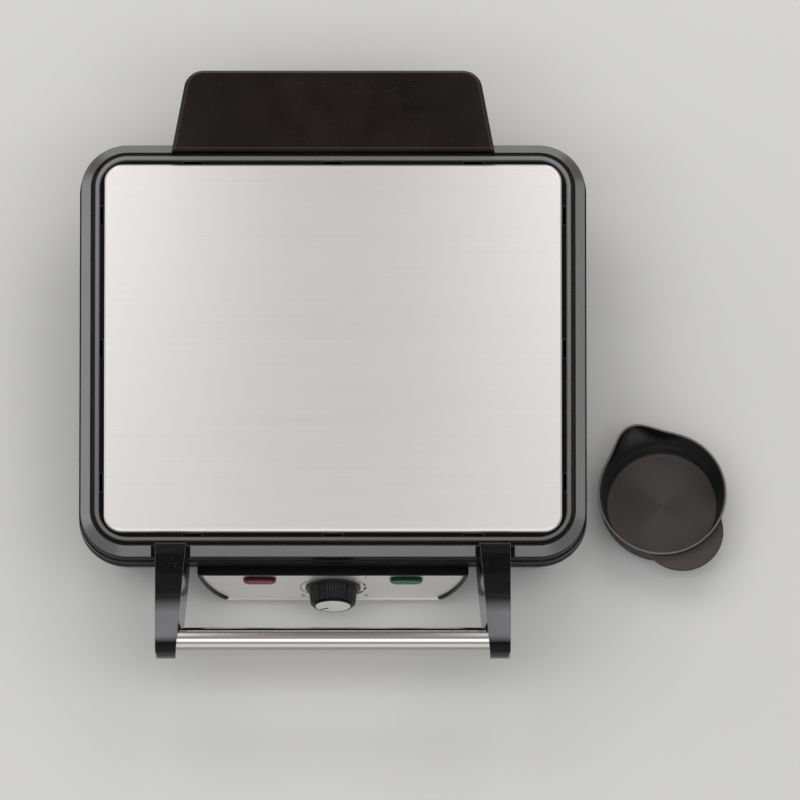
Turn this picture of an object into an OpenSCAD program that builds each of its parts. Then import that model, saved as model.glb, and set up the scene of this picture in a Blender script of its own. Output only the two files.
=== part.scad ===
// Contact grill with a hinged lid, a bar handle in front, a floating hinge under a rear hood,
// a thermostat knob with two indicator lamps, and a loose drip cup that stands under the fat spout.
// Frame: X to the right, Y to the rear, Z up. The origin lies on the flat underside of the base,
// in the plane of symmetry and halfway along the depth of the lid.

/* [Lid] */
// Width of the lid at the outer edge of its sloped flange
lid_w = 331; // [300:1:360]
// Depth of the lid at the outer edge of its sloped flange
lid_d = 284; // [260:1:310]
// Corner radius of the lid
lid_corner_r = 31; // [27:1:40]
// Height of the upright skirt under the flange
skirt_h = 13.5; // [12.5:0.5:18]
// Height of the bead along the bottom of the skirt
bead_h = 6; // [3:0.5:8]
// How far the bead stands proud of the skirt
bead_out = 0.7; // [0.3:0.1:1]
// Width of the sloped flange, seen from above
flange_run = 6.8; // [5:0.1:8]
// Rise of the sloped flange
flange_rise = 4.9; // [4:0.1:6]
// Width of the groove between flange and ridge
groove_w = 1.6; // [1:0.1:2.5]
// Depth of that groove below the inner edge of the flange
groove_depth = 2; // [1:0.1:2.2]
// Width of the raised ridge
ridge_w = 3.9; // [3:0.1:5]
// Height of the ridge above the inner edge of the flange
ridge_rise = 1.2; // [0.6:0.1:2]
// Gap between the ridge and the steel panel
panel_gap = 2.95; // [2.5:0.05:4]
// Height of the steel panel above the inner edge of the flange
panel_rise = 2.4; // [2:0.1:3.5]
// Height of the turned-down edge of the steel panel
panel_lip = 3; // [2.5:0.1:3.6]
// Thickness of the steel panel
panel_t = 0.8; // [0.5:0.1:1.2]
// Bend radius along the edge of the steel panel
panel_bend_r = 2; // [1.2:0.1:2.4]
// Corner radius of the steel panel
panel_corner_r = 12; // [9:0.5:15]
// Length of each clip slot beside the panel
clip_slot_l = 13; // [8:1:18]
// Spacing of the clip slots along each side
clip_pitch = 92; // [70:1:100]
// Wall of the lid moulding
lid_wall = 2.5; // [2:0.1:3]
// Thickness of the deck under the steel panel
deck_t = 3.5; // [3:0.1:4]

/* [Base] */
// Height of the tub from the underside of the base to the bottom of the rim
tub_h = 62; // [60:1:72]
// Height of the rim on top of the tub
rim_h = 7.5; // [6.5:0.5:10]
// How far the tub stands back from the rim
tub_inset = 9; // [7:0.5:10]
// Draft of the tub wall over its whole height
tub_draft = 10.5; // [9:0.5:11.5]
// Radius at the bottom edge of the tub
tub_edge_r = 5; // [3:0.5:7]
// Wall of the base moulding
base_wall = 2.5; // [2:0.1:3]
// Gap between rim and lid when the grill is shut
parting_gap = 1; // [0.6:0.1:2]
// Inner radius of the cord gland
gland_bore_r = 3.6; // [3:0.1:4.5]
// Height of the rubber feet
foot_h = 6; // [4:0.5:9]
// Radius of a rubber foot
foot_r = 9; // [7:0.5:11]
// Half the spacing of the feet across the grill
foot_x = 98; // [85:1:99]
// Half the spacing of the feet from front to back
foot_y = 108; // [95:1:109]

/* [Control panel] */
// Width of the silver plate along its top edge
plate_top_w = 172; // [160:1:178]
// Width of the silver plate along its bottom edge
plate_bottom_w = 135; // [120:1:145]
// Height of the silver plate
face_h = 50; // [47:1:51]
// Thickness of the silver plate
face_t = 1; // [0.8:0.1:1.5]
// Distance of the silver plate in front of the rim
face_out = 3.2; // [2.5:0.1:5]
// Height of the bottom edge of the silver plate above the underside
face_z = 10; // [9:0.5:11]
// Width of the black frame around the silver plate
frame_w = 2.8; // [2:0.1:3.5]
// Height of that frame in front of the silver plate
frame_proud = 1.3; // [0.8:0.1:2]
// Distance of each lamp from the knob's axis
lamp_x = 48; // [42:1:52]
// Height of the lamps above the bottom edge of the silver plate
lamp_up = 39.5; // [37:0.5:41]
// Width of a lamp lens
lens_w = 21.5; // [18:0.5:24]
// Height of a lamp lens
lens_h = 10; // [8:0.5:11]
// How far a lamp lens stands out of the silver plate
lens_out = 2.5; // [1.5:0.1:3.5]

/* [Knob] */
// Radius of the knob's flat skirt
knob_skirt_r = 18.2; // [17:0.1:19]
// Radius of the grip at its rear end
knob_grip_r = 15.9; // [15:0.1:16.5]
// Radius of the grip at its front end
knob_nose_r = 14.2; // [13.8:0.1:14.8]
// Length of the knob from the skirt's front face to the cap
knob_l = 11; // [10.5:0.1:14]
// Radius of the metal cap
cap_r = 12.9; // [12:0.1:13.2]
// Thickness of the metal cap
cap_t = 1.2; // [1:0.1:1.4]
// Number of flutes around the grip
flutes = 26; // [20:1:30]
// Radius of the thermostat shaft
shaft_r = 3; // [2.8:0.1:3.2]
// Height of the knob's axis above the bottom edge of the silver plate
knob_up = 22; // [20:0.5:23]

/* [Handle] */
// Radius of the steel bar
bar_r = 9.05; // [8:0.05:10]
// Wall of the steel bar
bar_wall = 1.2; // [1:0.1:1.6]
// Length of the bar between the arms
bar_l = 203; // [196:1:206]
// Distance of the bar's axis in front of the lid's flange
bar_out = 54.5; // [50:0.5:60]
// Height of the bar's axis below the flange's outer edge
bar_drop = 10; // [8:0.5:12]
// Width of an arm at the lid
arm_root_w = 20.3; // [18:0.1:23]
// Width of an arm at the bar
arm_end_w = 14.5; // [13:0.1:17]
// How far the web on an arm's inner side leans in
web_w = 4.6; // [3:0.1:6]
// Radius of an arm's outer front corner, seen from above
arm_corner_r = 4.5; // [3:0.1:5]
// How much the arm surrounds the bar
arm_cover = 2.5; // [2:0.1:3.5]
// Height of an arm above the inner edge of the flange
arm_rise = 5; // [4:0.1:6]

/* [Hinge] */
// Distance of the hinge rod behind the lid's flange
hinge_back = 23; // [22.5:0.1:24]
// Height of the hinge rod above the tub's top edge at rest
hinge_up = 4; // [3:0.5:5]
// Radius of the hinge rod
rod_r = 3; // [2.5:0.1:3.2]
// Height by which the hinge floats for thick food
float_h = 10; // [6:0.5:10]
// Thickness of a hinge post
post_t = 6; // [5:0.5:7]
// Distance of a post from the plane of symmetry
post_x = 78; // [76:1:82]
// Distance of a lid lug from the plane of symmetry
lug_x = 62; // [55:1:64]
// Thickness of a lid lug
lug_t = 8; // [6:0.5:9]
// Width of the hood along its front edge
hood_front_w = 212; // [208:1:216]
// Width of the hood along its rear edge
hood_rear_w = 196; // [192:1:200]
// Distance from the lid's flange to the hood's rear face
hood_back = 48; // [47.5:0.1:52]
// Height of the hood above the inner edge of the flange
hood_rise = 9; // [7:0.5:11]
// Corner radius at the rear of the hood
hood_corner_r = 13; // [9:0.5:16]
// Chamfer along the hood's top edge
hood_chamfer = 3; // [2:0.1:4]
// Wall of the hood
hood_wall = 2.2; // [1.8:0.1:2.6]

/* [Grill plates] */
// Distance of the grill plates inside the lid's outer edge
grill_inset = 14; // [12:0.5:16]
// Thickness of the cast floor of a grill plate
grill_t = 3.6; // [3:0.1:4]
// Height of the ribs
rib_h = 4; // [3:0.1:4.2]
// Width of a rib at its foot
rib_foot_w = 5.4; // [4:0.1:6.5]
// Width of a rib at its tip
rib_tip_w = 2.4; // [1.5:0.1:3]
// Spacing of the ribs
rib_pitch = 11; // [9.5:0.1:13]
// Width of the wall around a grill plate
grill_wall = 4; // [3:0.1:5]
// Width of the fat gutter
gutter_w = 9; // [8:0.5:10]
// Depth of the fat gutter below the cast floor
gutter_depth = 1.8; // [1:0.1:2]
// Outer radius of the fat spout
spout_r = 5.6; // [5:0.1:6]
// Wall of the fat spout
spout_wall = 1.6; // [1.2:0.1:2]
// Radius of a heating tube
heater_r = 3.2; // [2.8:0.1:3.3]

/* [Drip cup] */
// Radius of the cup at its rim
cup_r = 42.3; // [38:0.1:42.5]
// Radius of the cup at its floor
cup_floor_r = 38; // [34:0.5:38.5]
// Height of the cup
cup_h = 30; // [24:0.5:31]
// Wall of the cup
cup_wall = 1.4; // [1.2:0.1:2]
// Height of the step in the cup's wall
cup_step_h = 9; // [7:0.5:12]
// Width of that step
cup_step = 1.6; // [1:0.1:2]
// Radius of the pouring lip
lip_r = 14; // [11:0.5:15]
// Distance of the pouring lip's centre from the cup's axis
lip_out = 37.4; // [34:0.1:38]
// Depth of the pouring lip
lip_depth = 13; // [9:0.5:16]
// Radius of the thumb tab
tab_r = 27; // [23:0.5:28]
// Distance of the thumb tab's centre from the cup's axis
tab_out = 28; // [25:0.5:29]
// Thickness of the thumb tab
tab_t = 2.2; // [1.6:0.1:3]
// Distance of the thumb tab below the rim
tab_drop = 5; // [3:0.5:8]
// Distance of the standing cup from the plane of symmetry
cup_x = 216; // [212:1:225]
// Distance of the cup in front of the middle of the lid
cup_y = 78.6; // [77:0.1:79]
// Clearance around the cup in its bay
bay_gap = 3; // [2.5:0.1:3.5]
// How far the bay lies to the rear of the standing cup
bay_shift = 9; // [8:0.5:10]

/* [Clearances] */
// Gap between pieces that seat on each other
seat_gap = 0.1; // [0.05:0.01:0.2]
// Radial gap of a shaft that turns in its bore
running_gap = 0.05; // [0.03:0.01:0.09]
// Gap around a piece that passes through a cut-out
slip_gap = 0.3; // [0.2:0.05:0.5]

/* [Hidden] */

// One overrun serves every cut
cut = 1;
// Facets on round parts, and on small round parts
round_fn = 96;
small_fn = 48;
// Small setback that breaks a moulded edge
soft = 0.5;

// Heights of the stacked pieces
rim_top = tub_h + rim_h;
lid_z = rim_top + parting_gap;
flange_z = lid_z + skirt_h;
flange_top = flange_z + flange_rise;
ridge_z = flange_top + ridge_rise;
panel_z = flange_top + panel_rise;
deck_z = panel_z - panel_lip;
deck_bottom = deck_z - deck_t;
groove_z = flange_top - groove_depth;

// Plan sizes of the lid
ridge_in = flange_run + groove_w;
panel_in = ridge_in + ridge_w + panel_gap;
panel_w = lid_w - 2 * panel_in;
panel_d = lid_d - 2 * panel_in;
ridge_round = ridge_w / 6;
groove_lean = groove_w / 5;

// Plan sizes of the base
rim_w = lid_w + 2 * bead_out;
rim_d = lid_d + 2 * bead_out;
rim_corner_r = lid_corner_r + bead_out;
rim_tuck = 1.2;
rim_round = 0.8;
tub_w = rim_w - 2 * tub_inset;
tub_d = rim_d - 2 * tub_inset;
tub_corner_r = rim_corner_r - tub_inset;
tub_front_y = -tub_d / 2;
tub_rear_y = tub_d / 2;

// Grill plates: outer size, levels of the cast floors and of the rib tips
grill_w = lid_w - 2 * grill_inset;
grill_d = lid_d - 2 * grill_inset;
grill_corner_r = lid_corner_r - grill_inset;
tip_gap = parting_gap / 2;
lower_tip_z = rim_top - tip_gap;
lower_face_z = lower_tip_z - rib_h;
lower_back_z = lower_face_z - grill_t;
upper_tip_z = lid_z + tip_gap;
upper_face_z = upper_tip_z + rib_h;
upper_back_z = upper_face_z + grill_t;
rib_field_w = grill_w - 2 * grill_wall - 2 * gutter_w;
rib_count = floor(rib_field_w / rib_pitch);
rib_l = grill_d - 2 * grill_wall - 2 * gutter_w;
gutter_in = grill_wall + gutter_w / 2;

// Plate screws, as shares of the plate's width and depth
screw_x_share = 0.24;
screw_y_share = 0.2;
screw_x = grill_w * screw_x_share;
screw_y = grill_d * screw_y_share;
screw_r = 2;
screw_head_r = 3.8;
screw_head_h = 2.2;
boss_r = 5.2;
screw_points = [for (sx = [-1, 1], sy = [-1, 1]) [sx * screw_x, sy * screw_y]];

// Heating loops and their reflectors
heater_in = 44;
heater_bend_r = 26;
heater_gap_half = 24;
terminal_r = 1.6;
terminal_l = 14;
heater_rise = heater_r * 0.55;
lower_heater_z = lower_back_z - heater_rise;
upper_heater_z = upper_back_z + heater_rise;
reflector_t = 0.6;
reflector_in = 22;
reflector_lip = 4;
lower_reflector_z = lower_heater_z - heater_r - slip_gap - reflector_t;
upper_reflector_z = deck_bottom - seat_gap - reflector_t;

// Control panel: the plate's front face, the fascia behind it, and the window in the tub
face_y = -rim_d / 2 - face_out;
fascia_y = face_y - frame_proud;
face_top_z = face_z + face_h;
bowl_power = 1.4;
bowl_steps = 14;
window_w = plate_bottom_w;
window_margin = 4;
knob_z = face_z + knob_up;
lamp_z = face_z + lamp_up;
lens_flange = 1.4;
lens_flange_t = 1.2;
lens_wall = 1.2;
bulb_r = 2.9;
bulb_l = 14;

// Thermostat and knob, measured forward from the plate's front face
neck_r = 4.8;
nut_r = 7;
nut_t = 2.2;
neck_out = 3.2;
thermostat_w = 34;
thermostat_h = 26;
thermostat_l = 12;
can_r = 11;
can_l = 10;
shaft_out = 10.4;
skirt_gap = 0.4;
skirt_t = 1.4;
knob_back_y = face_y - skirt_gap;
knob_skirt_y = knob_back_y - skirt_t;
knob_hollow_r = 9.4;
knob_hollow_l = 5.2;
flute_r = 1.1;
cap_seat = 0.8;

// Feet and their screws
foot_chamfer = 1.5;
foot_recess_r = 5;
foot_recess_h = foot_h * 0.6;
foot_screw_l = 12;
foot_boss_h = 14;
foot_points = [[-foot_x, -foot_y], [foot_x, -foot_y], [-foot_x, foot_y], [foot_x, foot_y]];

// Drip cup, the bay that it slides into and the spout above it
table_z = -foot_h;
bay_inner_x = 117;
bay_headroom = 10;
bay_z = table_z + cup_h + bay_headroom;
bay_corner_r = 12;
bay_y = bay_shift - cup_y;
bay_front_y = bay_y - cup_r - bay_gap;
bay_rear_y = bay_y + cup_r + lip_r - bay_gap;
spout_x = grill_w / 2 - gutter_in;
spout_lift = 4;
spout_collar_r = 7.6;
spout_collar_t = 1.5;
spout_neck_r = spout_r - spout_wall / 2;
spout_neck_l = (lower_face_z - gutter_depth - lower_back_z) / 2;
spout_z = table_z + cup_h + spout_lift;
lip_angle = 115;
tab_angle = -62;
cup_foot_r = 3;
cup_draft_share = (cup_r - cup_floor_r - cup_step) / cup_h;
lip_tuck = 0.8;

// Handle
bar_y = -lid_d / 2 - bar_out;
bar_z = flange_z - bar_drop;
arm_end_r = bar_r + arm_cover;
arm_outer_x = bar_l / 2 + slip_gap + arm_end_w;
arm_top_z = flange_top + arm_rise;
socket_l = 8;
tie_r = 2.5;
handle_screw_r = 4.2;
handle_screw_h = 2.4;
arm_root_y = -lid_d / 2 + flange_run + groove_w / 4;
arm_taper = (arm_root_w - arm_end_w) / (arm_root_y - bar_y);
arm_soft = 1.2;
// The arm's arch from the lid to the bar: shares of the way forward and of the fall in height
arch_shares = [[0, -0.06], [0.25, 0.02], [0.5, 0.24], [0.75, 0.58]];
shoulder_h = 1.2;
saddle_gap = 2.8;
saddle_depth = 1.5;

// Hinge
hinge_y = lid_d / 2 + hinge_back;
hinge_z = tub_h + hinge_up;
lug_r = 8;
post_half = 7.5;
post_soft = 2;
post_top_z = hinge_z + float_h + post_half;
rod_over = 3.5;
rod_l = 2 * (post_x + post_t / 2 + rod_over);
clip_t = 1.2;
clip_r = 5.6;
hood_top_z = flange_top + hood_rise;
hood_bottom_z = hinge_z - rod_r * 0.7;
hood_rear_y = lid_d / 2 + hood_back;
hood_front_y = lid_d / 2 - flange_run - groove_w / 2;
hood_side_y = lid_d / 2 + 2.2 * hood_wall;

// Ventilation slots in the underside
vent_w = 4;
vent_l = 46;
vent_pitch = 11;
vent_count = 7;

// Round datum pad between the two groups of slots
pad_r = 11;
pad_h = 0.8;

// Cord gland
gland_x = -52;
gland_z = 22;
gland_r = 7.5;
gland_flange_r = 10.5;
gland_flange_t = 3;
gland_l = 16;

// A solid with a rounded rectangular plan whose upright edge follows a profile.
// The profile lists [distance inward from the outer edge, height] from the bottom upwards.
module edged_block(w, d, r, profile) {
    z0 = profile[0][1];
    z1 = profile[len(profile) - 1][1];
    edged_frame(w, d, r, concat(profile, [[r, z1], [r, z0]]));
    translate([r - w / 2, r - d / 2, z0]) cube([w - 2 * r, d - 2 * r, z1 - z0]);
}

// A frame with a rounded rectangular plan: the closed profile swept around it.
module edged_frame(w, d, r, profile) {
    for (side = [[0, w, d], [90, d, w], [180, w, d], [270, d, w]])
        rotate([0, 0, side[0]]) {
            translate([0, side[2] / 2 - r, 0])
                rotate([90, 0, 0])
                    linear_extrude(height = side[2] - 2 * r)
                        polygon([for (p = profile) [side[1] / 2 - p[0], p[1]]]);
            translate([side[1] / 2 - r, side[2] / 2 - r, 0])
                rotate_extrude(angle = 90, $fn = round_fn)
                    polygon([for (p = profile) [r - p[0], p[1]]]);
        }
}

// A plain block with a rounded rectangular plan.
module rounded_block(w, d, r, z0, z1) {
    edged_block(w, d, r, [[0, z0], [0, z1]]);
}

// An outline in the YZ plane, extruded along X from x0 over the given width.
module side_extrude(x0, width) {
    translate([x0, 0, 0]) rotate([90, 0, 90]) linear_extrude(height = width) children();
}

// A cylinder along X, centred on x.
module x_rod(r, l, x, y, z) {
    translate([x - l / 2, y, z]) rotate([0, 90, 0]) cylinder(r = r, h = l, $fn = small_fn);
}

// A cylinder that starts at the given y and runs towards the front.
module y_rod(r, l, x, y, z) {
    translate([x, y, z]) rotate([90, 0, 0]) cylinder(r = r, h = l, $fn = small_fn);
}

module left_and_right() {
    children();
    mirror([1, 0, 0]) children();
}

// Half-width of the bowl-shaped control panel at each step from its top to its bottom.
function bowl_side(top_half, bottom_half, top_z, h) = [
    for (i = [0 : bowl_steps])
        let (a = 90 * i / bowl_steps)
        [bottom_half + (top_half - bottom_half) * pow(cos(a), 2 / bowl_power),
         top_z - h * pow(sin(a), 2 / bowl_power)]
];

function bowl(grow) =
    let (side = bowl_side(plate_top_w / 2 + grow, plate_bottom_w / 2 + grow, face_top_z + grow * 0.6,
                          face_h + grow * 1.6))
    concat(side, [for (i = [len(side) - 1 : -1 : 0]) [-side[i][0], side[i][1]]]);

// The bowl outline as a slab between two planes; y_front is the more forward one.
module bowl_slab(grow, y_front, y_back) {
    translate([0, y_back, 0]) rotate([90, 0, 0]) linear_extrude(height = y_back - y_front) polygon(bowl(grow));
}

// A stadium-shaped lens body along Y.
module lens_slab(x, grow, y_front, y_back) {
    straight = lens_w / 2 - lens_h / 2;
    translate([x, y_back, lamp_z]) rotate([90, 0, 0]) linear_extrude(height = y_back - y_front)
        union() {
            square([2 * straight, lens_h + 2 * grow], center = true);
            for (s = [-1, 1]) translate([s * straight, 0]) circle(r = lens_h / 2 + grow, $fn = small_fn);
        }
}

// Drafted tub body with a rounded bottom edge; inside is how far the surface stands in from the outer wall.
module tub_body(inside, z0, z1) {
    edged_block(tub_w - 2 * inside, tub_d - 2 * inside, tub_corner_r - inside, [
        [tub_draft + tub_edge_r * 0.3, z0],
        [tub_draft, z0 + tub_edge_r * 0.7],
        [0, z1]
    ]);
}

// The bay in the right side of the tub; grow adds the wall around it.
module cup_bay(grow) {
    reach = tub_w / 2 + cut - bay_inner_x;
    translate([0, 0, -cut]) linear_extrude(height = bay_z + grow + cut)
        union() {
            translate([bay_inner_x + bay_corner_r - grow, bay_front_y - grow])
                square([reach - bay_corner_r + grow, bay_rear_y - bay_front_y + 2 * grow]);
            translate([bay_inner_x - grow, bay_front_y + bay_corner_r - grow])
                square([reach + grow, bay_rear_y - bay_front_y - 2 * bay_corner_r + 2 * grow]);
            for (y = [bay_front_y + bay_corner_r - grow, bay_rear_y - bay_corner_r + grow])
                translate([bay_inner_x + bay_corner_r - grow, y]) circle(r = bay_corner_r, $fn = small_fn);
        }
}

module base_shell() {
    post_z = lower_reflector_z - 3 * seat_gap;
    color([0.06, 0.055, 0.055]) difference() {
        union() {
            difference() {
                tub_body(0, 0, tub_h);
                tub_body(base_wall, base_wall, tub_h + cut);
                // window behind the control panel
                translate([-window_w / 2, tub_front_y - cut, face_z + window_margin])
                    cube([window_w, tub_draft + base_wall + 2 * cut, face_h - 2 * window_margin]);
            }
            // bosses under the grill plate
            for (p = screw_points)
                translate([p[0], p[1], 0]) cylinder(r = boss_r, h = post_z, $fn = small_fn);
            // bosses above the feet
            for (p = foot_points)
                translate([p[0], p[1], 0]) cylinder(r = foot_r * 0.6, h = foot_boss_h, $fn = small_fn);
            translate([0, 0, -pad_h]) cylinder(r = pad_r, h = pad_h + base_wall, $fn = small_fn);
        }
        cup_bay(base_wall + seat_gap);
        for (p = screw_points)
            translate([p[0], p[1], 0]) {
                translate([0, 0, -cut])
                        cylinder(r = screw_r + slip_gap, h = post_z + 2 * cut, $fn = small_fn);
                translate([0, 0, -cut])
                        cylinder(r = screw_head_r + slip_gap, h = tub_h / 2 + cut, $fn = small_fn);
            }
        for (p = foot_points)
            translate([p[0], p[1], -cut]) cylinder(r = screw_r, h = foot_screw_l + cut, $fn = small_fn);
        // cooling slots in two groups
        for (s = [-1, 1], i = [0 : vent_count - 1])
            translate([s * vent_pitch * (i + 1.5) - vent_w / 2, -vent_l / 2, -cut])
                cube([vent_w, vent_l, base_wall + 2 * cut]);
        y_rod(gland_r + slip_gap, tub_draft + 4 * base_wall, gland_x, tub_rear_y, gland_z);
    }
}

// Lining of the bay: walls and roof that close the cut-out in the tub around the drip cup.
module cup_bay_liner() {
    color([0.06, 0.055, 0.055]) difference() {
        intersection() {
            tub_body(0, 0, tub_h);
            cup_bay(base_wall);
        }
        cup_bay(0);
        // hole for the fat spout through the roof
        translate([spout_x, bay_y, 0]) cylinder(r = spout_r + slip_gap, h = tub_h, $fn = small_fn);
    }
}

module base_rim() {
    ledge_in = grill_inset + bead_out - slip_gap;
    color([0.08, 0.08, 0.08]) edged_frame(rim_w, rim_d, rim_corner_r, [
        [rim_tuck, tub_h],
        [rim_tuck / 4, tub_h + rim_h * 0.28],
        [0, tub_h + rim_h * 0.4],
        [0, rim_top - rim_round],
        [rim_round, rim_top],
        [ledge_in, rim_top],
        [ledge_in, tub_h + rim_h * 0.45],
        [tub_inset + base_wall, tub_h + rim_h * 0.3],
        [tub_inset + base_wall, tub_h]
    ]);
}

module control_fascia() {
    mouth = fascia_y + frame_proud + face_t;
    color([0.1, 0.1, 0.1]) difference() {
        union() {
            bowl_slab(frame_w, fascia_y + frame_proud / 2, tub_front_y + tub_draft);
            bowl_slab(frame_w - frame_proud / 2, fascia_y, fascia_y + cut);
        }
        bowl_slab(slip_gap, fascia_y - cut, mouth);
        bowl_slab(-frame_w, fascia_y - cut, tub_front_y + tub_draft + cut);
        // the back follows the draft of the tub's front wall
        side_extrude(-lid_w / 2, lid_w) polygon([
            [tub_front_y + tub_draft - seat_gap, 0], [tub_front_y - seat_gap, tub_h],
            [tub_front_y + 3 * tub_draft, tub_h], [tub_front_y + 3 * tub_draft, 0]
        ]);
        // nothing rises above the bottom of the rim
        translate([-lid_w / 2, fascia_y - cut, tub_h - seat_gap]) cube([lid_w, rim_d, tub_h]);
    }
}

module control_plate() {
    color([0.75, 0.74, 0.72]) difference() {
        bowl_slab(0, face_y, face_y + face_t);
        y_rod(neck_r + slip_gap, 4 * face_t, 0, face_y + 2 * face_t, knob_z);
        for (s = [-1, 1]) lens_slab(s * lamp_x, slip_gap, face_y - cut, face_y + face_t + cut);
    }
}

module lamp_lens(x) {
    difference() {
        union() {
            lens_slab(x, 0, face_y - lens_out + cap_seat, face_y + face_t);
            lens_slab(x, -cap_seat, face_y - lens_out, face_y - lens_out + cut);
            lens_slab(x, lens_flange, face_y + face_t + seat_gap, face_y + face_t + seat_gap + lens_flange_t);
            lens_slab(x, 0, face_y, face_y + face_t + seat_gap + cut);
        }
        lens_slab(x, -lens_wall, face_y - lens_out + lens_wall, face_y + 2 * face_t + 2 * lens_flange_t);
    }
}

module power_lamp_lens() {
    color([0.45, 0.06, 0.1]) lamp_lens(-lamp_x);
}

module ready_lamp_lens() {
    color([0.0, 0.36, 0.22]) lamp_lens(lamp_x);
}

// Neon lamp: a round-nosed glass bulb in a plastic cup that plugs into the back of the lens.
module neon_lamp(x) {
    back_y = face_y + face_t + seat_gap + lens_flange_t + seat_gap;
    y_rod(bulb_r, lens_flange_t + face_t, x, back_y, lamp_z);
    difference() {
        y_rod(lens_h / 2, bulb_l, x, back_y + bulb_l, lamp_z);
        y_rod(lens_h / 2 - lens_wall, bulb_l / 2, x, back_y + bulb_l + cut, lamp_z);
    }
}

module power_lamp() {
    color([0.85, 0.5, 0.4]) neon_lamp(-lamp_x);
}

module ready_lamp() {
    color([0.6, 0.85, 0.7]) neon_lamp(lamp_x);
}

module thermostat() {
    back_y = face_y + face_t + seat_gap;
    color([0.6, 0.6, 0.6]) difference() {
        union() {
            y_rod(neck_r, face_t + seat_gap + neck_out, 0, back_y, knob_z);
            translate([-thermostat_w / 2, back_y, knob_z - thermostat_h / 2])
                cube([thermostat_w, face_t, thermostat_h]);
            translate([-thermostat_w / 3, back_y, knob_z - thermostat_h / 3])
                cube([thermostat_w * 2 / 3, thermostat_l, thermostat_h * 2 / 3]);
            y_rod(can_r, can_l, 0, back_y + thermostat_l + can_l, knob_z);
        }
        y_rod(shaft_r + running_gap, thermostat_l + face_t + neck_out + cut, 0, back_y + thermostat_l, knob_z);
    }
}

module thermostat_nut() {
    color([0.8, 0.78, 0.7]) translate([0, face_y - seat_gap, knob_z]) rotate([90, 0, 0])
        difference() {
            cylinder(r = nut_r, h = nut_t, $fn = 6);
            translate([0, 0, -cut]) cylinder(r = neck_r + running_gap, h = nut_t + 2 * cut, $fn = small_fn);
        }
}

// Ribs of a grill plate, from z0 to z1; the tip is at z1.
module grill_ribs(z0, z1) {
    foot = rib_foot_w / 2;
    tip = rib_tip_w / 2;
    for (i = [0 : rib_count - 1])
        translate([(i - (rib_count - 1) / 2) * rib_pitch, rib_l / 2, 0])
            rotate([90, 0, 0]) linear_extrude(height = rib_l) polygon([
                [-foot, z0], [-tip - (foot - tip) * 0.2, z0 + (z1 - z0) * 0.8], [-tip * 0.6, z1],
                [tip * 0.6, z1], [tip + (foot - tip) * 0.2, z0 + (z1 - z0) * 0.8], [foot, z0]
            ]);
}

module lower_plate() {
    boss_z = lower_reflector_z - seat_gap;
    color([0.12, 0.12, 0.12]) difference() {
        union() {
            difference() {
                edged_block(grill_w, grill_d, grill_corner_r, [
                    [grill_wall / 2, lower_back_z], [0, lower_back_z + grill_t / 2], [0, lower_tip_z]
                ]);
                edged_block(grill_w - 2 * grill_wall, grill_d - 2 * grill_wall, grill_corner_r - grill_wall, [
                    [rib_h * 0.25, lower_face_z], [0, lower_tip_z + cut]
                ]);
            }
            grill_ribs(lower_face_z - cut, lower_tip_z - tip_gap / 2);
            for (p = screw_points)
                translate([p[0], p[1], boss_z])
                    cylinder(r = boss_r, h = lower_face_z - boss_z - cut, $fn = small_fn);
        }
        // gutter all round the rib field, draining at the spout
        edged_frame(grill_w - 2 * grill_wall, grill_d - 2 * grill_wall, grill_corner_r - grill_wall, [
            [gutter_w * 0.3, lower_face_z - gutter_depth], [gutter_w * 0.15, lower_face_z + cut],
            [gutter_w * 0.85, lower_face_z + cut], [gutter_w * 0.7, lower_face_z - gutter_depth]
        ]);
        translate([spout_x, bay_y, lower_back_z - cut]) {
            cylinder(r = spout_r - spout_wall, h = tub_h, $fn = small_fn);
            cylinder(r = spout_neck_r + seat_gap, h = cut + spout_neck_l, $fn = small_fn);
        }
        for (p = screw_points)
            translate([p[0], p[1], boss_z - cut])
                cylinder(r = screw_r + running_gap, h = lower_back_z - boss_z + cut, $fn = small_fn);
        heater_loop(lower_heater_z, heater_r + running_gap);
    }
}

// Tube that leads the fat from the gutter into the cup; its neck sits in the underside of the plate.
module fat_spout() {
    top_z = lower_back_z - seat_gap;
    color([0.12, 0.12, 0.12]) translate([spout_x, bay_y, 0]) rotate_extrude($fn = small_fn) polygon([
        [spout_r - spout_wall, spout_z + soft],
        [spout_r - spout_wall + soft, spout_z],
        [spout_r, spout_z + spout_wall],
        [spout_r, top_z - spout_collar_t],
        [spout_collar_r, top_z - spout_collar_t],
        [spout_collar_r, top_z],
        [spout_neck_r, top_z],
        [spout_neck_r, top_z + spout_neck_l],
        [spout_r - spout_wall, top_z + spout_neck_l]
    ]);
}

module upper_plate() {
    color([0.12, 0.12, 0.12]) difference() {
        union() {
            difference() {
                edged_block(grill_w, grill_d, grill_corner_r, [
                    [0, upper_tip_z], [0, upper_back_z - grill_t / 2], [grill_wall / 2, upper_back_z]
                ]);
                edged_block(grill_w - 2 * grill_wall, grill_d - 2 * grill_wall, grill_corner_r - grill_wall, [
                    [0, upper_tip_z - cut], [rib_h * 0.25, upper_face_z]
                ]);
            }
            grill_ribs(upper_face_z + cut, upper_tip_z + tip_gap / 2);
            for (p = screw_points)
                translate([p[0], p[1], upper_back_z - cut])
                    cylinder(r = boss_r, h = deck_bottom - seat_gap - upper_back_z + cut, $fn = small_fn);
        }
        for (p = screw_points)
            translate([p[0], p[1], upper_back_z])
                cylinder(r = screw_r + running_gap, h = tub_h, $fn = small_fn);
        heater_loop(upper_heater_z, heater_r + running_gap);
    }
}

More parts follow.
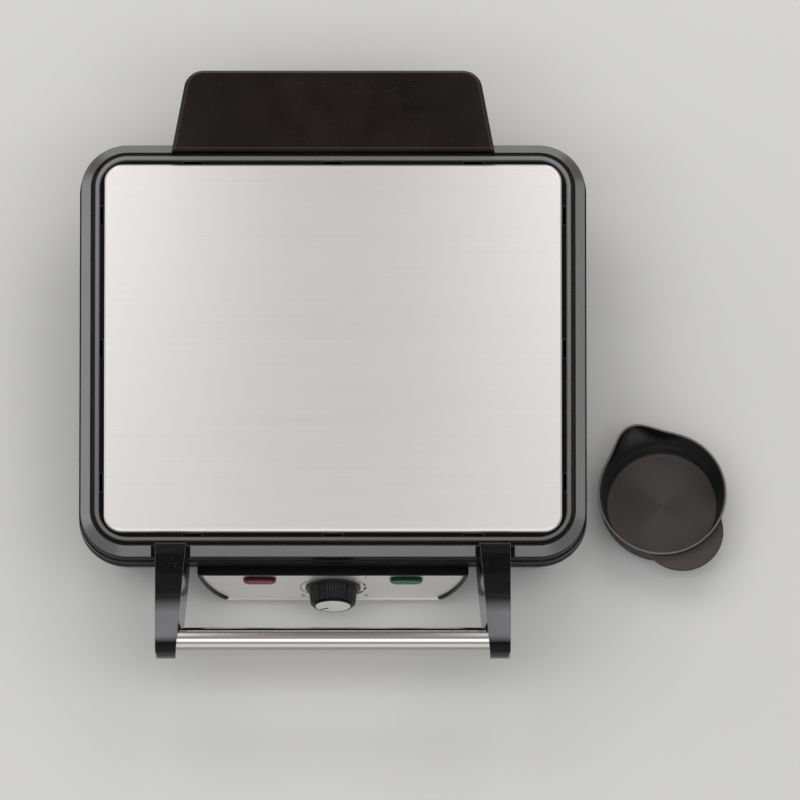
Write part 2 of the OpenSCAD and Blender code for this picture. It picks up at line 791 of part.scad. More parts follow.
// Heating tube: a rounded rectangle that is open at the rear between its two ends.
module heater_loop(z, r) {
    half_w = grill_w / 2 - heater_in;
    half_d = grill_d / 2 - heater_in;
    bend = heater_bend_r;
    for (s = [-1, 1]) {
        translate([s * half_w, half_d - bend, z]) rotate([90, 0, 0])
            cylinder(r = r, h = 2 * (half_d - bend), $fn = small_fn);
        x_rod(r, half_w - bend - heater_gap_half, s * (half_w - bend + heater_gap_half) / 2, half_d, z);
        for (t = [-1, 1])
            translate([s * (half_w - bend), t * (half_d - bend), z])
                rotate([0, 0, s > 0 ? (t > 0 ? 0 : 270) : (t > 0 ? 90 : 180)])
                    rotate_extrude(angle = 90, $fn = round_fn)
                        translate([bend, 0]) circle(r = r, $fn = small_fn);
    }
    x_rod(r, 2 * (half_w - bend), 0, -half_d, z);
}

module heater(z) {
    heater_loop(z, heater_r);
    for (s = [-1, 1])
        x_rod(terminal_r, terminal_l, s * (heater_gap_half - terminal_l / 2), grill_d / 2 - heater_in, z);
}

module lower_heater() {
    color([0.35, 0.33, 0.32]) heater(lower_heater_z);
}

module upper_heater() {
    color([0.35, 0.33, 0.32]) heater(upper_heater_z);
}

// Thin sheet with a lip along its edge; lip_z is the far edge of that lip.
module reflector(z, lip_z) {
    w = grill_w - 2 * reflector_in;
    d = grill_d - 2 * reflector_in;
    difference() {
        union() {
            rounded_block(w, d, grill_corner_r, z, z + reflector_t);
            edged_frame(w, d, grill_corner_r, [
                [0, min(z, lip_z)], [0, max(z + reflector_t, lip_z)],
                [reflector_t, max(z + reflector_t, lip_z)], [reflector_t, min(z, lip_z)]
            ]);
        }
        for (p = screw_points)
            translate([p[0], p[1], z - cut])
                cylinder(r = boss_r + slip_gap, h = 2 * cut + reflector_t, $fn = small_fn);
    }
}

module lower_reflector() {
    color([0.7, 0.7, 0.7]) reflector(lower_reflector_z, lower_reflector_z + reflector_lip);
}

module upper_reflector() {
    color([0.7, 0.7, 0.7]) reflector(upper_reflector_z, upper_reflector_z - reflector_lip / 2);
}

module lower_plate_screws() {
    head_z = tub_h / 2 - screw_head_h;
    tip_z = lower_back_z - 2 * seat_gap;
    color([0.75, 0.75, 0.75]) for (p = screw_points)
        translate([p[0], p[1], 0]) {
            translate([0, 0, head_z]) cylinder(r = screw_head_r, h = screw_head_h, $fn = small_fn);
            translate([0, 0, head_z]) cylinder(r = screw_r, h = tip_z - head_z, $fn = small_fn);
        }
}

module upper_plate_screws() {
    color([0.75, 0.75, 0.75]) for (p = screw_points)
        translate([p[0], p[1], 0]) {
            translate([0, 0, deck_z - seat_gap - screw_head_h])
                cylinder(r = screw_head_r, h = screw_head_h, $fn = small_fn);
            translate([0, 0, upper_back_z + 2 * seat_gap])
                cylinder(r = screw_r, h = deck_z - screw_head_h - upper_back_z - 2 * seat_gap, $fn = small_fn);
        }
}

// Safety fuse in a sleeve with its mounting strap, screwed to the underside of the lower plate.
module thermal_fuse() {
    fuse_r = 2.4;
    fuse_l = 20;
    strap_w = 6;
    fuse_z = lower_back_z - seat_gap - fuse_r;
    color([0.85, 0.82, 0.7]) {
        x_rod(fuse_r, fuse_l, 0, 0, fuse_z);
        x_rod(fuse_r / 3, fuse_l + 2 * strap_w, 0, 0, fuse_z);
        difference() {
            translate([-strap_w / 2, -2 * fuse_r, fuse_z - fuse_r]) cube([strap_w, 4 * fuse_r, 2 * fuse_r]);
            x_rod(fuse_r - seat_gap, fuse_l, 0, 0, fuse_z);
        }
    }
}

// Four-way terminal block on the floor of the tub.
module terminal_block() {
    pitch = 9;
    ways = 4;
    block_d = 16;
    block_h = 13;
    block_gap = 1;
    entry_r = 2.2;
    color([0.9, 0.9, 0.86]) translate([gland_x + 3 * pitch, tub_rear_y - 3 * block_d, base_wall])
        difference() {
        union()
            for (i = [0 : ways - 1])
                translate([i * pitch, 0, 0]) {
                    cube([pitch - block_gap, block_d, block_h]);
                    translate([0, block_d / 4, 0]) cube([pitch, block_d / 2, block_h / 2]);
                }
        for (i = [0 : ways - 1])
            translate([(i + 0.5) * pitch - block_gap / 2, 0, block_h / 2]) {
                rotate([-90, 0, 0]) translate([0, 0, -cut])
                    cylinder(r = entry_r, h = block_d / 3, $fn = small_fn);
                translate([0, block_d / 4, 0]) cylinder(r = entry_r, h = block_h, $fn = small_fn);
            }
    }
}

module foot(p) {
    color([0.1, 0.1, 0.1]) translate([p[0], p[1], 0]) rotate_extrude($fn = round_fn) polygon([
        [screw_r + slip_gap, -seat_gap],
        [foot_r, -seat_gap],
        [foot_r, foot_chamfer - foot_h],
        [foot_r - foot_chamfer / 2, -foot_h],
        [foot_recess_r, -foot_h],
        [foot_recess_r, foot_recess_h - foot_h],
        [screw_r + slip_gap, foot_recess_h - foot_h]
    ]);
}

module foot_front_left() {
    foot(foot_points[0]);
}

module foot_front_right() {
    foot(foot_points[1]);
}

module foot_rear_left() {
    foot(foot_points[2]);
}

module foot_rear_right() {
    foot(foot_points[3]);
}

module foot_screws() {
    head_z = foot_recess_h - foot_h - seat_gap - screw_head_h;
    color([0.75, 0.75, 0.75]) for (p = foot_points)
        translate([p[0], p[1], 0]) {
            translate([0, 0, head_z]) cylinder(r = screw_head_r, h = screw_head_h, $fn = small_fn);
            translate([0, 0, head_z])
                cylinder(r = screw_r - running_gap, h = foot_screw_l - seat_gap - head_z, $fn = small_fn);
        }
}

// Post on the rear wall of the tub with an upright slot in which the hinge rod floats.
module hinge_post() {
    root_z = tub_h * 0.66;
    under_z = hinge_z - post_half - post_soft;
    slot_r = rod_r + running_gap;
    side_extrude(post_x - post_t / 2, post_t) difference() {
        polygon([
            [tub_rear_y - tub_draft * 0.34 + seat_gap, root_z],
            [tub_rear_y + seat_gap, tub_h - seat_gap],
            [hinge_y - 2 * post_half, tub_h - seat_gap],
            [hinge_y - post_half, hinge_z + post_half / 2],
            [hinge_y - post_half, post_top_z - post_soft],
            [hinge_y - post_half + post_soft, post_top_z],
            [hinge_y + post_half - post_soft, post_top_z],
            [hinge_y + post_half, post_top_z - post_soft],
            [hinge_y + post_half, under_z + post_soft],
            [hinge_y + post_half - post_soft, under_z],
            [hinge_y - post_half, under_z]
        ]);
        translate([hinge_y - slot_r, hinge_z]) square([2 * slot_r, float_h]);
        for (z = [hinge_z, hinge_z + float_h])
            translate([hinge_y, z]) circle(r = slot_r, $fn = small_fn);
    }
}

module hinge_post_left() {
    color([0.06, 0.055, 0.055]) mirror([1, 0, 0]) hinge_post();
}

module hinge_post_right() {
    color([0.06, 0.055, 0.055]) hinge_post();
}

module cord_gland() {
    wall_y = tub_rear_y - tub_draft * (1 - (gland_z + gland_flange_r) / tub_h);
    color([0.08, 0.08, 0.08]) difference() {
        union() {
            y_rod(gland_r, gland_l, gland_x, wall_y + gland_flange_t, gland_z);
            // the flange lies against the drafted wall
            difference() {
                y_rod(gland_flange_r, gland_flange_t + tub_draft, gland_x, wall_y + gland_flange_t, gland_z);
                side_extrude(-tub_w / 2, tub_w) polygon([
                    [0, 0], [tub_rear_y - tub_draft + seat_gap, 0], [tub_rear_y + seat_gap, tub_h], [0, tub_h]
                ]);
            }
            y_rod(gland_r * 0.8, 2 * gland_flange_t, gland_x, wall_y + 3 * gland_flange_t, gland_z);
        }
        y_rod(gland_bore_r, 2 * gland_l + cut, gland_x, wall_y + gland_l, gland_z);
    }
}

module hinge_rod() {
    color([0.75, 0.75, 0.75]) x_rod(rod_r, rod_l, 0, hinge_y, hinge_z);
}

module rod_clips() {
    clip_x = post_x + post_t / 2 + slip_gap + clip_t / 2;
    color([0.5, 0.5, 0.5]) for (s = [-1, 1]) difference() {
        x_rod(clip_r, clip_t, s * clip_x, hinge_y, hinge_z);
        x_rod(rod_r + running_gap, clip_t + 2 * cut, s * clip_x, hinge_y, hinge_z);
    }
}

// Clip slots in the floor of the gap around the steel panel: three on each side.
module clip_slots(z0, h, inward, width, grow) {
    for (i = [-1 : 1], s = [-1, 1]) {
        translate([i * clip_pitch - clip_slot_l / 2 - grow, s * (lid_d / 2 - inward) - width / 2, z0])
            cube([clip_slot_l + 2 * grow, width, h]);
        translate([s * (lid_w / 2 - inward) - width / 2, i * clip_pitch - clip_slot_l / 2 - grow, z0])
            cube([width, clip_slot_l + 2 * grow, h]);
    }
}

module lid_shell() {
    deck_in = panel_in + panel_gap;
    shoulder_x = arm_outer_x - arm_root_w;
    flange_slope = flange_rise / flange_run;
    color([0.08, 0.075, 0.075]) difference() {
        union() {
            edged_frame(lid_w, lid_d, lid_corner_r, [
                [-bead_out, lid_z],
                [-bead_out, lid_z + bead_h - bead_out],
                [0, lid_z + bead_h],
                [0, flange_z - soft],
                [soft, flange_z + soft / 2],
                [flange_run - soft, flange_top - soft / 4],
                [flange_run, flange_top - soft],
                [flange_run + groove_lean, groove_z],
                [ridge_in - groove_lean, groove_z],
                [ridge_in, ridge_z - ridge_round],
                [ridge_in + ridge_round, ridge_z],
                [ridge_in + ridge_w - ridge_round, ridge_z],
                [ridge_in + ridge_w, ridge_z - ridge_round],
                [ridge_in + ridge_w, deck_z],
                [deck_in, deck_z],
                [deck_in, deck_bottom],
                [flange_run, deck_bottom],
                [lid_wall, flange_z - lid_wall],
                [lid_wall, lid_z]
            ]);
            rounded_block(
                lid_w - 2 * deck_in, lid_d - 2 * deck_in, lid_corner_r - deck_in, deck_bottom, deck_z
            );
            // raised shoulders under the roots of the handle arms
            left_and_right() side_extrude(shoulder_x + slip_gap, arm_root_w - 2 * slip_gap) polygon([
                [arm_root_y - cut, groove_z], [arm_root_y - cut, flange_top + shoulder_h / 2],
                [arm_root_y - 2 * cut, flange_top + shoulder_h],
                [-lid_d / 2 + cut, flange_top + shoulder_h / 2], [-lid_d / 2, flange_z + flange_rise / 2],
                [-lid_d / 2, flange_z - cut]
            ]);
        }
        // open saddles on both sides of each arm
        left_and_right() for (x = [shoulder_x - saddle_gap, shoulder_x + arm_root_w - slip_gap])
            side_extrude(x, saddle_gap + slip_gap) polygon([
                [-lid_d / 2 - cut, flange_z - saddle_depth - cut * flange_slope],
                [-lid_d / 2 + flange_run - soft, flange_top - saddle_depth - soft * flange_slope],
                [-lid_d / 2 + flange_run - soft, flange_top + saddle_depth],
                [-lid_d / 2 - cut, flange_top + saddle_depth]
            ]);
        clip_slots(deck_bottom - cut, deck_t + 2 * cut, panel_in - panel_gap / 2, panel_gap - 2 * slip_gap, 0);
        for (p = screw_points)
            translate([p[0], p[1], deck_bottom - cut]) {
                cylinder(r = screw_r + slip_gap, h = deck_t + 2 * cut, $fn = small_fn);
                translate([0, 0, cut + deck_t - screw_head_h - 2 * seat_gap])
                    cylinder(r = screw_head_r + slip_gap, h = deck_t, $fn = small_fn);
            }
    }
}

module lid_panel() {
    bend = panel_bend_r;
    outer = [for (a = [0 : 15 : 90]) [bend * (1 - cos(a)), panel_z - bend + bend * sin(a)]];
    color([0.85, 0.84, 0.82]) difference() {
        edged_block(panel_w, panel_d, panel_corner_r, concat([[0, deck_z + seat_gap]], outer));
        edged_block(panel_w - 2 * panel_t, panel_d - 2 * panel_t, panel_corner_r - panel_t, [
            [0, deck_z - cut], [0, panel_z - bend], [bend - panel_t, panel_z - panel_t]
        ]);
    }
}

// Side view of an arm: hooked over the lid's shoulder, arched forward, and round about the bar.
module arm_profile() {
    front_y = -lid_d / 2 - bead_out - seat_gap;
    reach = front_y - bar_y;
    fall = arm_top_z - bar_z - arm_end_r;
    seat_z = flange_top + shoulder_h + seat_gap;
    union() {
        translate([bar_y, bar_z]) circle(r = arm_end_r, $fn = round_fn);
        polygon(concat(
            [[arm_root_y, seat_z], [arm_root_y, arm_top_z - arm_soft], [arm_root_y - arm_soft, arm_top_z]],
            [for (p = arch_shares) [front_y - p[0] * reach, arm_top_z - p[1] * fall]],
            [
                [bar_y + arm_end_r * 0.17, bar_z + arm_end_r * 0.985],
                [bar_y + arm_end_r * 0.09, bar_z - arm_end_r * 0.996],
                [front_y - reach / 2, bar_z - arm_end_r * 0.8],
                [front_y - 2 * arm_soft, lid_z - arm_soft],
                [front_y, lid_z + arm_soft],
                [front_y, seat_z]
            ]
        ));
    }
}

// Plan view of the right arm: upright outer side, inner side tapering towards the bar.
module arm_plan() {
    y0 = arm_root_y + cut;
    y1 = bar_y - arm_end_r - cut;
    r = arm_corner_r;
    polygon(concat(
        [
            [arm_outer_x, y0],
            [arm_outer_x - arm_root_w - cut * arm_taper, y0],
            [arm_outer_x - arm_end_w + (arm_end_r + cut) * arm_taper, y1]
        ],
        [for (a = [-90 : 15 : 0]) [arm_outer_x - r + r * cos(a), y1 + r + r * sin(a)]]
    ));
}

// Leaning web on the inner side of the right arm, from the root to the bar.
// It gives no width at the arm's top.
module arm_web() {
    top_z = arm_top_z + cut;
    foot_z = bar_z - arm_end_r - cut;
    run = arm_root_y - bar_y - bar_r;
    gain = web_w * (top_z - bar_z - arm_end_r) / (top_z - foot_z) / (arm_root_y - bar_y);
    translate([arm_outer_x - arm_root_w, arm_root_y, 0]) rotate([90, 0, atan(arm_taper + gain)])
        linear_extrude(height = run) polygon([
            [0, top_z], [-web_w, foot_z], [arm_end_w / 2, foot_z], [arm_end_w / 2, top_z]
        ]);
}

module handle_arm() {
    inner_x = arm_outer_x - arm_end_w;
    difference() {
        intersection() {
            side_extrude(arm_outer_x - arm_root_w - 2 * web_w, arm_root_w + 2 * web_w + cut) arm_profile();
            union() {
                translate([0, 0, bar_z - 2 * arm_end_r]) linear_extrude(height = 5 * arm_end_r) arm_plan();
                arm_web();
            }
        }
        // socket for the bar, hole for the tie rod and seat for the screw head
        x_rod(bar_r + running_gap, 2 * socket_l, inner_x, bar_y, bar_z);
        x_rod(tie_r + running_gap, 2 * arm_end_w + cut, arm_outer_x, bar_y, bar_z);
        x_rod(handle_screw_r + slip_gap, 2 * handle_screw_h, arm_outer_x, bar_y, bar_z);
    }
}

module handle_arm_left() {
    color([0.06, 0.06, 0.06]) mirror([1, 0, 0]) handle_arm();
}

module handle_arm_right() {
    color([0.06, 0.06, 0.06]) handle_arm();
}

module handle_bar() {
    tube_l = bar_l + 2 * socket_l - 2 * slip_gap;
    color([0.8, 0.8, 0.8]) difference() {
        x_rod(bar_r, tube_l, 0, bar_y, bar_z);
        x_rod(bar_r - bar_wall, tube_l + 2 * cut, 0, bar_y, bar_z);
    }
}

module handle_tie_rod() {
    rod = 2 * (arm_outer_x - handle_screw_h - slip_gap - 3 * tie_r);
    color([0.6, 0.6, 0.6]) x_rod(tie_r, rod, 0, bar_y, bar_z);
}

// Cap screws that clamp the arms on the tie rod.
module handle_screws() {
    stem = 3 * tie_r;
    color([0.7, 0.7, 0.7]) for (s = [-1, 1]) {
        x_rod(handle_screw_r, handle_screw_h - seat_gap, s * (arm_outer_x - handle_screw_h / 2), bar_y, bar_z);
        x_rod(tie_r, stem, s * (arm_outer_x - handle_screw_h - stem / 2 + seat_gap / 2), bar_y, bar_z);
    }
}

// Plan of the hood: a trapezium with rounded rear corners; inside moves every side inwards.
module hood_plan(inside, front_y) {
    front = hood_front_w / 2 - inside;
    rear = hood_rear_w / 2 - inside;
    rear_y = hood_rear_y - inside;
    r = hood_corner_r - inside;
    lean = atan((front - rear) / (rear_y - hood_front_y));
    corner = [for (a = [lean : (90 - lean) / 8 : 90]) [rear - r + r * cos(a), rear_y - r + r * sin(a)]];
    polygon(concat(
        [[-front, front_y], [front, front_y]],
        corner,
        [for (i = [len(corner) - 1 : -1 : 0]) [-corner[i][0], corner[i][1]]]
    ));
}

module hinge_hood() {
    top_z = hood_top_z - hood_chamfer;
    color([0.1, 0.085, 0.08]) difference() {
        union() {
            translate([0, 0, hood_bottom_z]) linear_extrude(height = top_z - hood_bottom_z)
                hood_plan(0, hood_front_y);
            hull() {
                translate([0, 0, top_z - hood_wall / 2]) linear_extrude(height = hood_wall / 2)
                    hood_plan(0, hood_front_y);
                translate([0, 0, hood_top_z - hood_wall / 4]) linear_extrude(height = hood_wall / 4)
                    hood_plan(hood_chamfer * 0.8, hood_front_y + hood_chamfer * 0.4);
            }
        }
        translate([0, 0, hood_bottom_z - cut]) linear_extrude(height = top_z - hood_bottom_z + cut)
            hood_plan(hood_wall, hood_front_y + hood_wall);
        // underside over the lid's flange, groove and skirt
        side_extrude(-lid_w / 2, lid_w) polygon([
            [hood_front_y - cut, 0],
            [hood_front_y - cut, flange_top + seat_gap],
            [lid_d / 2 - flange_run + soft, flange_top + seat_gap],
            [lid_d / 2 + seat_gap, flange_z + seat_gap],
            [hood_side_y - hood_wall, flange_z - flange_rise],
            [hood_side_y, lid_z],
            [hood_side_y, 0]
        ]);
    }
}

// Lug on the rear wall of the lid, with the bore for the hinge rod.
module hinge_lug() {
    wall_y = lid_d / 2 + seat_gap / 2;
    difference() {
        union() {
            x_rod(lug_r, lug_t, lug_x, hinge_y, hinge_z);
            side_extrude(lug_x - lug_t / 2, lug_t) polygon([
                [wall_y, lid_z + bead_h + seat_gap],
                [wall_y, flange_z - soft],
                [hinge_y - lug_r * 0.8, flange_z - soft],
                [hinge_y + lug_r * 0.3, hinge_z + lug_r * 0.9],
                [hinge_y + lug_r * 0.5, hinge_z],
                [hinge_y - lug_r * 0.6, hinge_z - lug_r * 0.7]
            ]);
        }
        x_rod(rod_r + running_gap, lug_t + 2 * cut, lug_x, hinge_y, hinge_z);
    }
}

module hinge_lug_left() {
    color([0.3, 0.3, 0.3]) mirror([1, 0, 0]) hinge_lug();
}

module hinge_lug_right() {
    color([0.3, 0.3, 0.3]) hinge_lug();
}

// The knob is turned about its own axis and then laid on the panel.
module knob() {
    color([0.16, 0.16, 0.16]) translate([0, knob_back_y, knob_z]) rotate([90, 0, 0]) difference() {
        rotate_extrude($fn = round_fn) polygon([
            [shaft_r + running_gap, knob_hollow_l],
            [knob_hollow_r, knob_hollow_l],
            [knob_hollow_r, 0],
            [knob_skirt_r - soft, 0],
            [knob_skirt_r, skirt_t / 2],
            [knob_skirt_r - soft, skirt_t],
            [knob_grip_r, skirt_t + soft / 2],
            [knob_nose_r + soft, skirt_t + knob_l - 2 * cap_seat],
            [knob_nose_r, skirt_t + knob_l - cap_seat],
            [shaft_r + running_gap, skirt_t + knob_l - cap_seat]
        ]);
        for (i = [0 : flutes - 1])
            rotate([0, 0, (i + 0.5) * 360 / flutes])
                translate([knob_grip_r + flute_r * 0.35, 0, skirt_t + soft])
                    rotate([0, -atan((knob_grip_r - knob_nose_r) / knob_l), 0])
                        cylinder(r = flute_r, h = knob_l, $fn = 16);
    }
}

module knob_cap() {
    cap_y = knob_back_y - skirt_t - knob_l + cap_seat - seat_gap;
    color([0.78, 0.78, 0.78]) translate([0, cap_y, knob_z]) rotate([90, 0, 0])
        rotate_extrude($fn = round_fn)
            polygon([[0, 0], [cap_r, 0], [cap_r, cap_t - soft], [cap_r - soft, cap_t], [0, cap_t]]);
}

module thermostat_shaft() {
    start_y = face_y + face_t + seat_gap + thermostat_l - slip_gap;
    color([0.8, 0.8, 0.8]) difference() {
        y_rod(shaft_r, start_y - face_y + shaft_out, 0, start_y, knob_z);
        // flat on the end of the shaft, inside the knob
        translate([-shaft_r, face_y - shaft_out - cut, knob_z + shaft_r * 0.6])
            cube([2 * shaft_r, shaft_out - neck_out, shaft_r]);
    }
}

// Outline of the bowl of the cup with its pouring lip; grow moves it outwards.
module lip_outline(grow) {
    r = lip_r + grow;
    root_r = cup_r - lip_tuck + grow;
    lean = acos((root_r - r) / lip_out);
    rotate([0, 0, lip_angle]) union() {
        translate([lip_out, 0]) circle(r = r, $fn = round_fn);
        polygon([
            [root_r * cos(lean), root_r * sin(lean)],
            [lip_out + r * cos(lean), r * sin(lean)],
            [lip_out + r * cos(lean), -r * sin(lean)],
            [root_r * cos(lean), -root_r * sin(lean)],
            [0, 0]
        ]);
    }
}

// Stepped wall of the cup from its floor to its rim; inward moves it towards the axis.
function cup_side(inward) =
    let (step_r = cup_floor_r + cup_draft_share * cup_step_h - inward)
    [
        [cup_floor_r - cup_foot_r - inward / 2, inward],
        [cup_floor_r - inward, cup_foot_r * 0.6 + inward],
        [step_r, cup_step_h + inward / 2],
        [step_r + cup_step, cup_step_h + cup_step + inward / 2],
        [cup_r - inward, cup_h]
    ];

module drip_cup() {
    color([0.17, 0.15, 0.14]) translate([cup_x, -cup_y, table_z]) difference() {
        union() {
            rotate_extrude($fn = round_fn) polygon(concat([[0, 0]], cup_side(0), [[0, cup_h]]));
            translate([0, 0, cup_h - lip_depth]) linear_extrude(height = lip_depth) lip_outline(0);
            rotate([0, 0, tab_angle]) translate([tab_out, 0, cup_h - tab_drop - tab_t])
                cylinder(r = tab_r, h = tab_t, $fn = round_fn);
        }
        rotate_extrude($fn = round_fn) polygon(concat(
            [[0, cup_wall]], cup_side(cup_wall), [[cup_r - cup_wall, cup_h + cut], [0, cup_h + cut]]
        ));
        translate([0, 0, cup_h - lip_depth + cup_wall])
            linear_extrude(height = lip_depth) lip_outline(-cup_wall);
    }
}

base_shell();
base_rim();
control_fascia();
control_plate();
power_lamp_lens();
ready_lamp_lens();
power_lamp();
ready_lamp();
thermostat();
thermostat_nut();
lower_plate();
lower_heater();
lower_reflector();
lower_plate_screws();
thermal_fuse();
terminal_block();
foot_front_left();
foot_front_right();
foot_rear_left();
foot_rear_right();
foot_screws();
hinge_post_left();
hinge_post_right();
cord_gland();
cup_bay_liner();
fat_spout();
hinge_rod();
rod_clips();
lid_shell();
lid_panel();
upper_plate();
upper_heater();
upper_reflector();
upper_plate_screws();
handle_arm_left();
handle_arm_right();
handle_bar();
handle_tie_rod();
handle_screws();
hinge_hood();
hinge_lug_left();
hinge_lug_right();
knob();
knob_cap();
thermostat_shaft();
drip_cup();
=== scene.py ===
import math

import bmesh
import bpy
import numpy as np
from bpy.props import FloatProperty, FloatVectorProperty, PointerProperty
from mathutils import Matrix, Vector


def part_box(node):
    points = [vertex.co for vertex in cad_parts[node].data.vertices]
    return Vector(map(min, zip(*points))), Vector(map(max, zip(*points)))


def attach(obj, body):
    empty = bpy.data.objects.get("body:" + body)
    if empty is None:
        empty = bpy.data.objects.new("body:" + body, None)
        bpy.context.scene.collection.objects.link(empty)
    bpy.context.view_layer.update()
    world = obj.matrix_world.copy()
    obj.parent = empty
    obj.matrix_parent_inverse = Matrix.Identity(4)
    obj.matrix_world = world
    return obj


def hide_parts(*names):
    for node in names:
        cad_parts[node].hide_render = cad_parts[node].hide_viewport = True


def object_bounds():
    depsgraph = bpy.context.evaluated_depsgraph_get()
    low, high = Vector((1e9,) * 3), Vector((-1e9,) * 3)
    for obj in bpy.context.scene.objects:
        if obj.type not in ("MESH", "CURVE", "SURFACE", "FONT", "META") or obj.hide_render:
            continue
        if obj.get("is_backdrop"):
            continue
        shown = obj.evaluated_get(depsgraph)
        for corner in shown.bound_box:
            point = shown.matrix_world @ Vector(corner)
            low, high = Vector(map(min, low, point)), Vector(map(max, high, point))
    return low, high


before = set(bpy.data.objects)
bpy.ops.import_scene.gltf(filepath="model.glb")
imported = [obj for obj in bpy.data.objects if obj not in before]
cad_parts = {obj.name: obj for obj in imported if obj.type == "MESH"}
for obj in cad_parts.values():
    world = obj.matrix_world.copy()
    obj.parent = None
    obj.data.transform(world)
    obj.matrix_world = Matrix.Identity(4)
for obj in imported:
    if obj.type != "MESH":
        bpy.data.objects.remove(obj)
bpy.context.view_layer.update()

bl_info = {
    "name": "Contact grill looks",
    "version": (1, 0, 0),
    "blender": (4, 5, 0),
    "location": "3D View > Sidebar > Grill",
    "description": "Finishes, printed marks and studio for the contact grill",
    "category": "Object",
}

MM = 0.001

# Half width of the soft edge between two painted areas
PAINT_BLUR = 0.1 * MM
# Depth of the mould grain on gloss plastic
GLOSS_GRAIN = 0.0015 * MM
# Share of its colour that a lens keeps on its upward faces, a painted shade on the lens's top
LENS_TOP_SHADE = 0.12
# Height of a digit as a share of the size of its font
DIGIT_SHARE = 0.7
# Printed scale: start and end of each mark in degrees from +X, and its share between thin and thick
SCALE_MARKS = (
    (226.0, 60.0, 0.0), (55.0, 43.0, 0.1), (39.0, 26.0, 0.2), (22.0, 5.0, 0.4), (0.0, -18.0, 0.7),
    (-24.0, -43.0, 1.0),
)
# Digits, and how far right of and above the knob's axis each stands
DIGIT_SPOTS = (("0", -19.6 * MM, -17.6 * MM), ("1", 21.6 * MM, 20.6 * MM), ("2", 21.6 * MM, -17.6 * MM))
# Outer and inner end of the pointer, right of and above the knob's axis
POINTER_ENDS = ((-8.2 * MM, -7.0 * MM), (-3.1 * MM, -4.0 * MM))
# Bands of the world's direction over which it darkens: up, to the rear and well to the rear
WORLD_UP, WORLD_BACK, WORLD_REAR = (0.5, 0.9), (0.0, 0.25), (0.45, 0.6)


# Settings


def colour(name, description, value):
    """A colour property with its default."""
    return FloatVectorProperty(
        name=name, description=description, subtype="COLOR", size=3, min=0, max=1, default=value
    )


def length(name, description, value):
    """A length property in metres with its default."""
    return FloatProperty(name=name, description=description, unit="LENGTH", default=value, precision=5)


def angle(name, description, degrees):
    """An angle property with its default, given in degrees."""
    return FloatProperty(name=name, description=description, subtype="ANGLE", default=math.radians(degrees))


class GrillFinishSettings(bpy.types.PropertyGroup):
    """Colours of the grill's surfaces."""

    gloss_black: colour("Gloss black", "Lid moulding, rim and panel frame", (0.006, 0.0056, 0.0056))
    # Painted reflection: the flange's grey stands for the bright surroundings that its slope mirrors
    flange_reflection_grey: colour("Flange", "Fine-satin sloped flange of the lid", (0.052, 0.051, 0.05))
    # Painted highlight along the crown of the ridge
    ridge_highlight_grey: colour("Ridge", "Rubbed crown of the ridge around the panel", (0.048, 0.047, 0.046))
    hood_black: colour("Hood", "Glossy brown-black hood over the hinge", (0.0098, 0.0052, 0.0056))
    arm_black: colour("Handle arms", "Gloss black of the handle arms", (0.004, 0.004, 0.0045))
    # Painted sheen: the pale grip end stands for light that the arms' upward faces mirror near the bar
    arm_sheen: colour("Worn arm", "Paler grip end of the handle arms", (0.22, 0.22, 0.23))
    # Painted highlight: a pale line along the hard edges of the mouldings
    edge_highlight: colour("Edge line", "Fine pale line along the edges of the mouldings", (0.24, 0.237, 0.234))
    satin_black: colour("Satin black", "Tub, hinge posts and gland", (0.02, 0.019, 0.019))
    knob_black: colour("Knob", "Dark grey grip of the knob", (0.013, 0.0125, 0.0125))
    steel: colour("Brushed steel", "Steel panel on the lid", (0.83, 0.82, 0.805))
    bar_steel: colour("Bar steel", "Polished steel of the handle bar", (0.60, 0.573, 0.553))
    plate_silver: colour("Silver plate", "Silver plate behind the knob", (0.84, 0.83, 0.815))
    cap_silver: colour("Knob cap", "Metal cap of the knob", (0.93, 0.925, 0.91))
    red_lens: colour("Red lens", "Lens of the power lamp", (0.29, 0.012, 0.036))
    green_lens: colour("Green lens", "Lens of the ready lamp", (0.002, 0.17, 0.088))
    lamp_body: colour("Lamp body", "Neon lamps, terminal block and fuse", (0.55, 0.5, 0.45))
    heater: colour("Heater", "Tubes of the heating elements", (0.16, 0.15, 0.13))
    sheet: colour("Sheet", "Aluminised sheet of the reflectors", (0.66, 0.67, 0.68))
    coating: colour("Plate coating", "Non-stick coating of the grill plates", (0.022, 0.021, 0.021))
    zinc: colour("Zinc", "Zinc-plated screws, rod and clips", (0.62, 0.63, 0.62))
    alloy: colour("Hinge lugs", "Bare die-cast alloy", (0.45, 0.45, 0.44))
    ink: colour("Dial ink", "Printed marks of the dial", (0.012, 0.012, 0.012))
    rubber: colour("Rubber", "Feet", (0.016, 0.016, 0.016))
    cup: colour("Drip cup", "Dark brown-grey plastic of the cup", (0.05, 0.042, 0.04))
    # Painted shade on the cup's steep walls
    cup_wall_shade: colour("Cup wall", "Darker steep wall of the cup", (0.007, 0.006, 0.006))
    # Painted highlight along the rounded top of the cup's rim
    cup_rim_highlight: colour("Cup rim", "Paler edge of the cup's rim", (0.15, 0.146, 0.143))


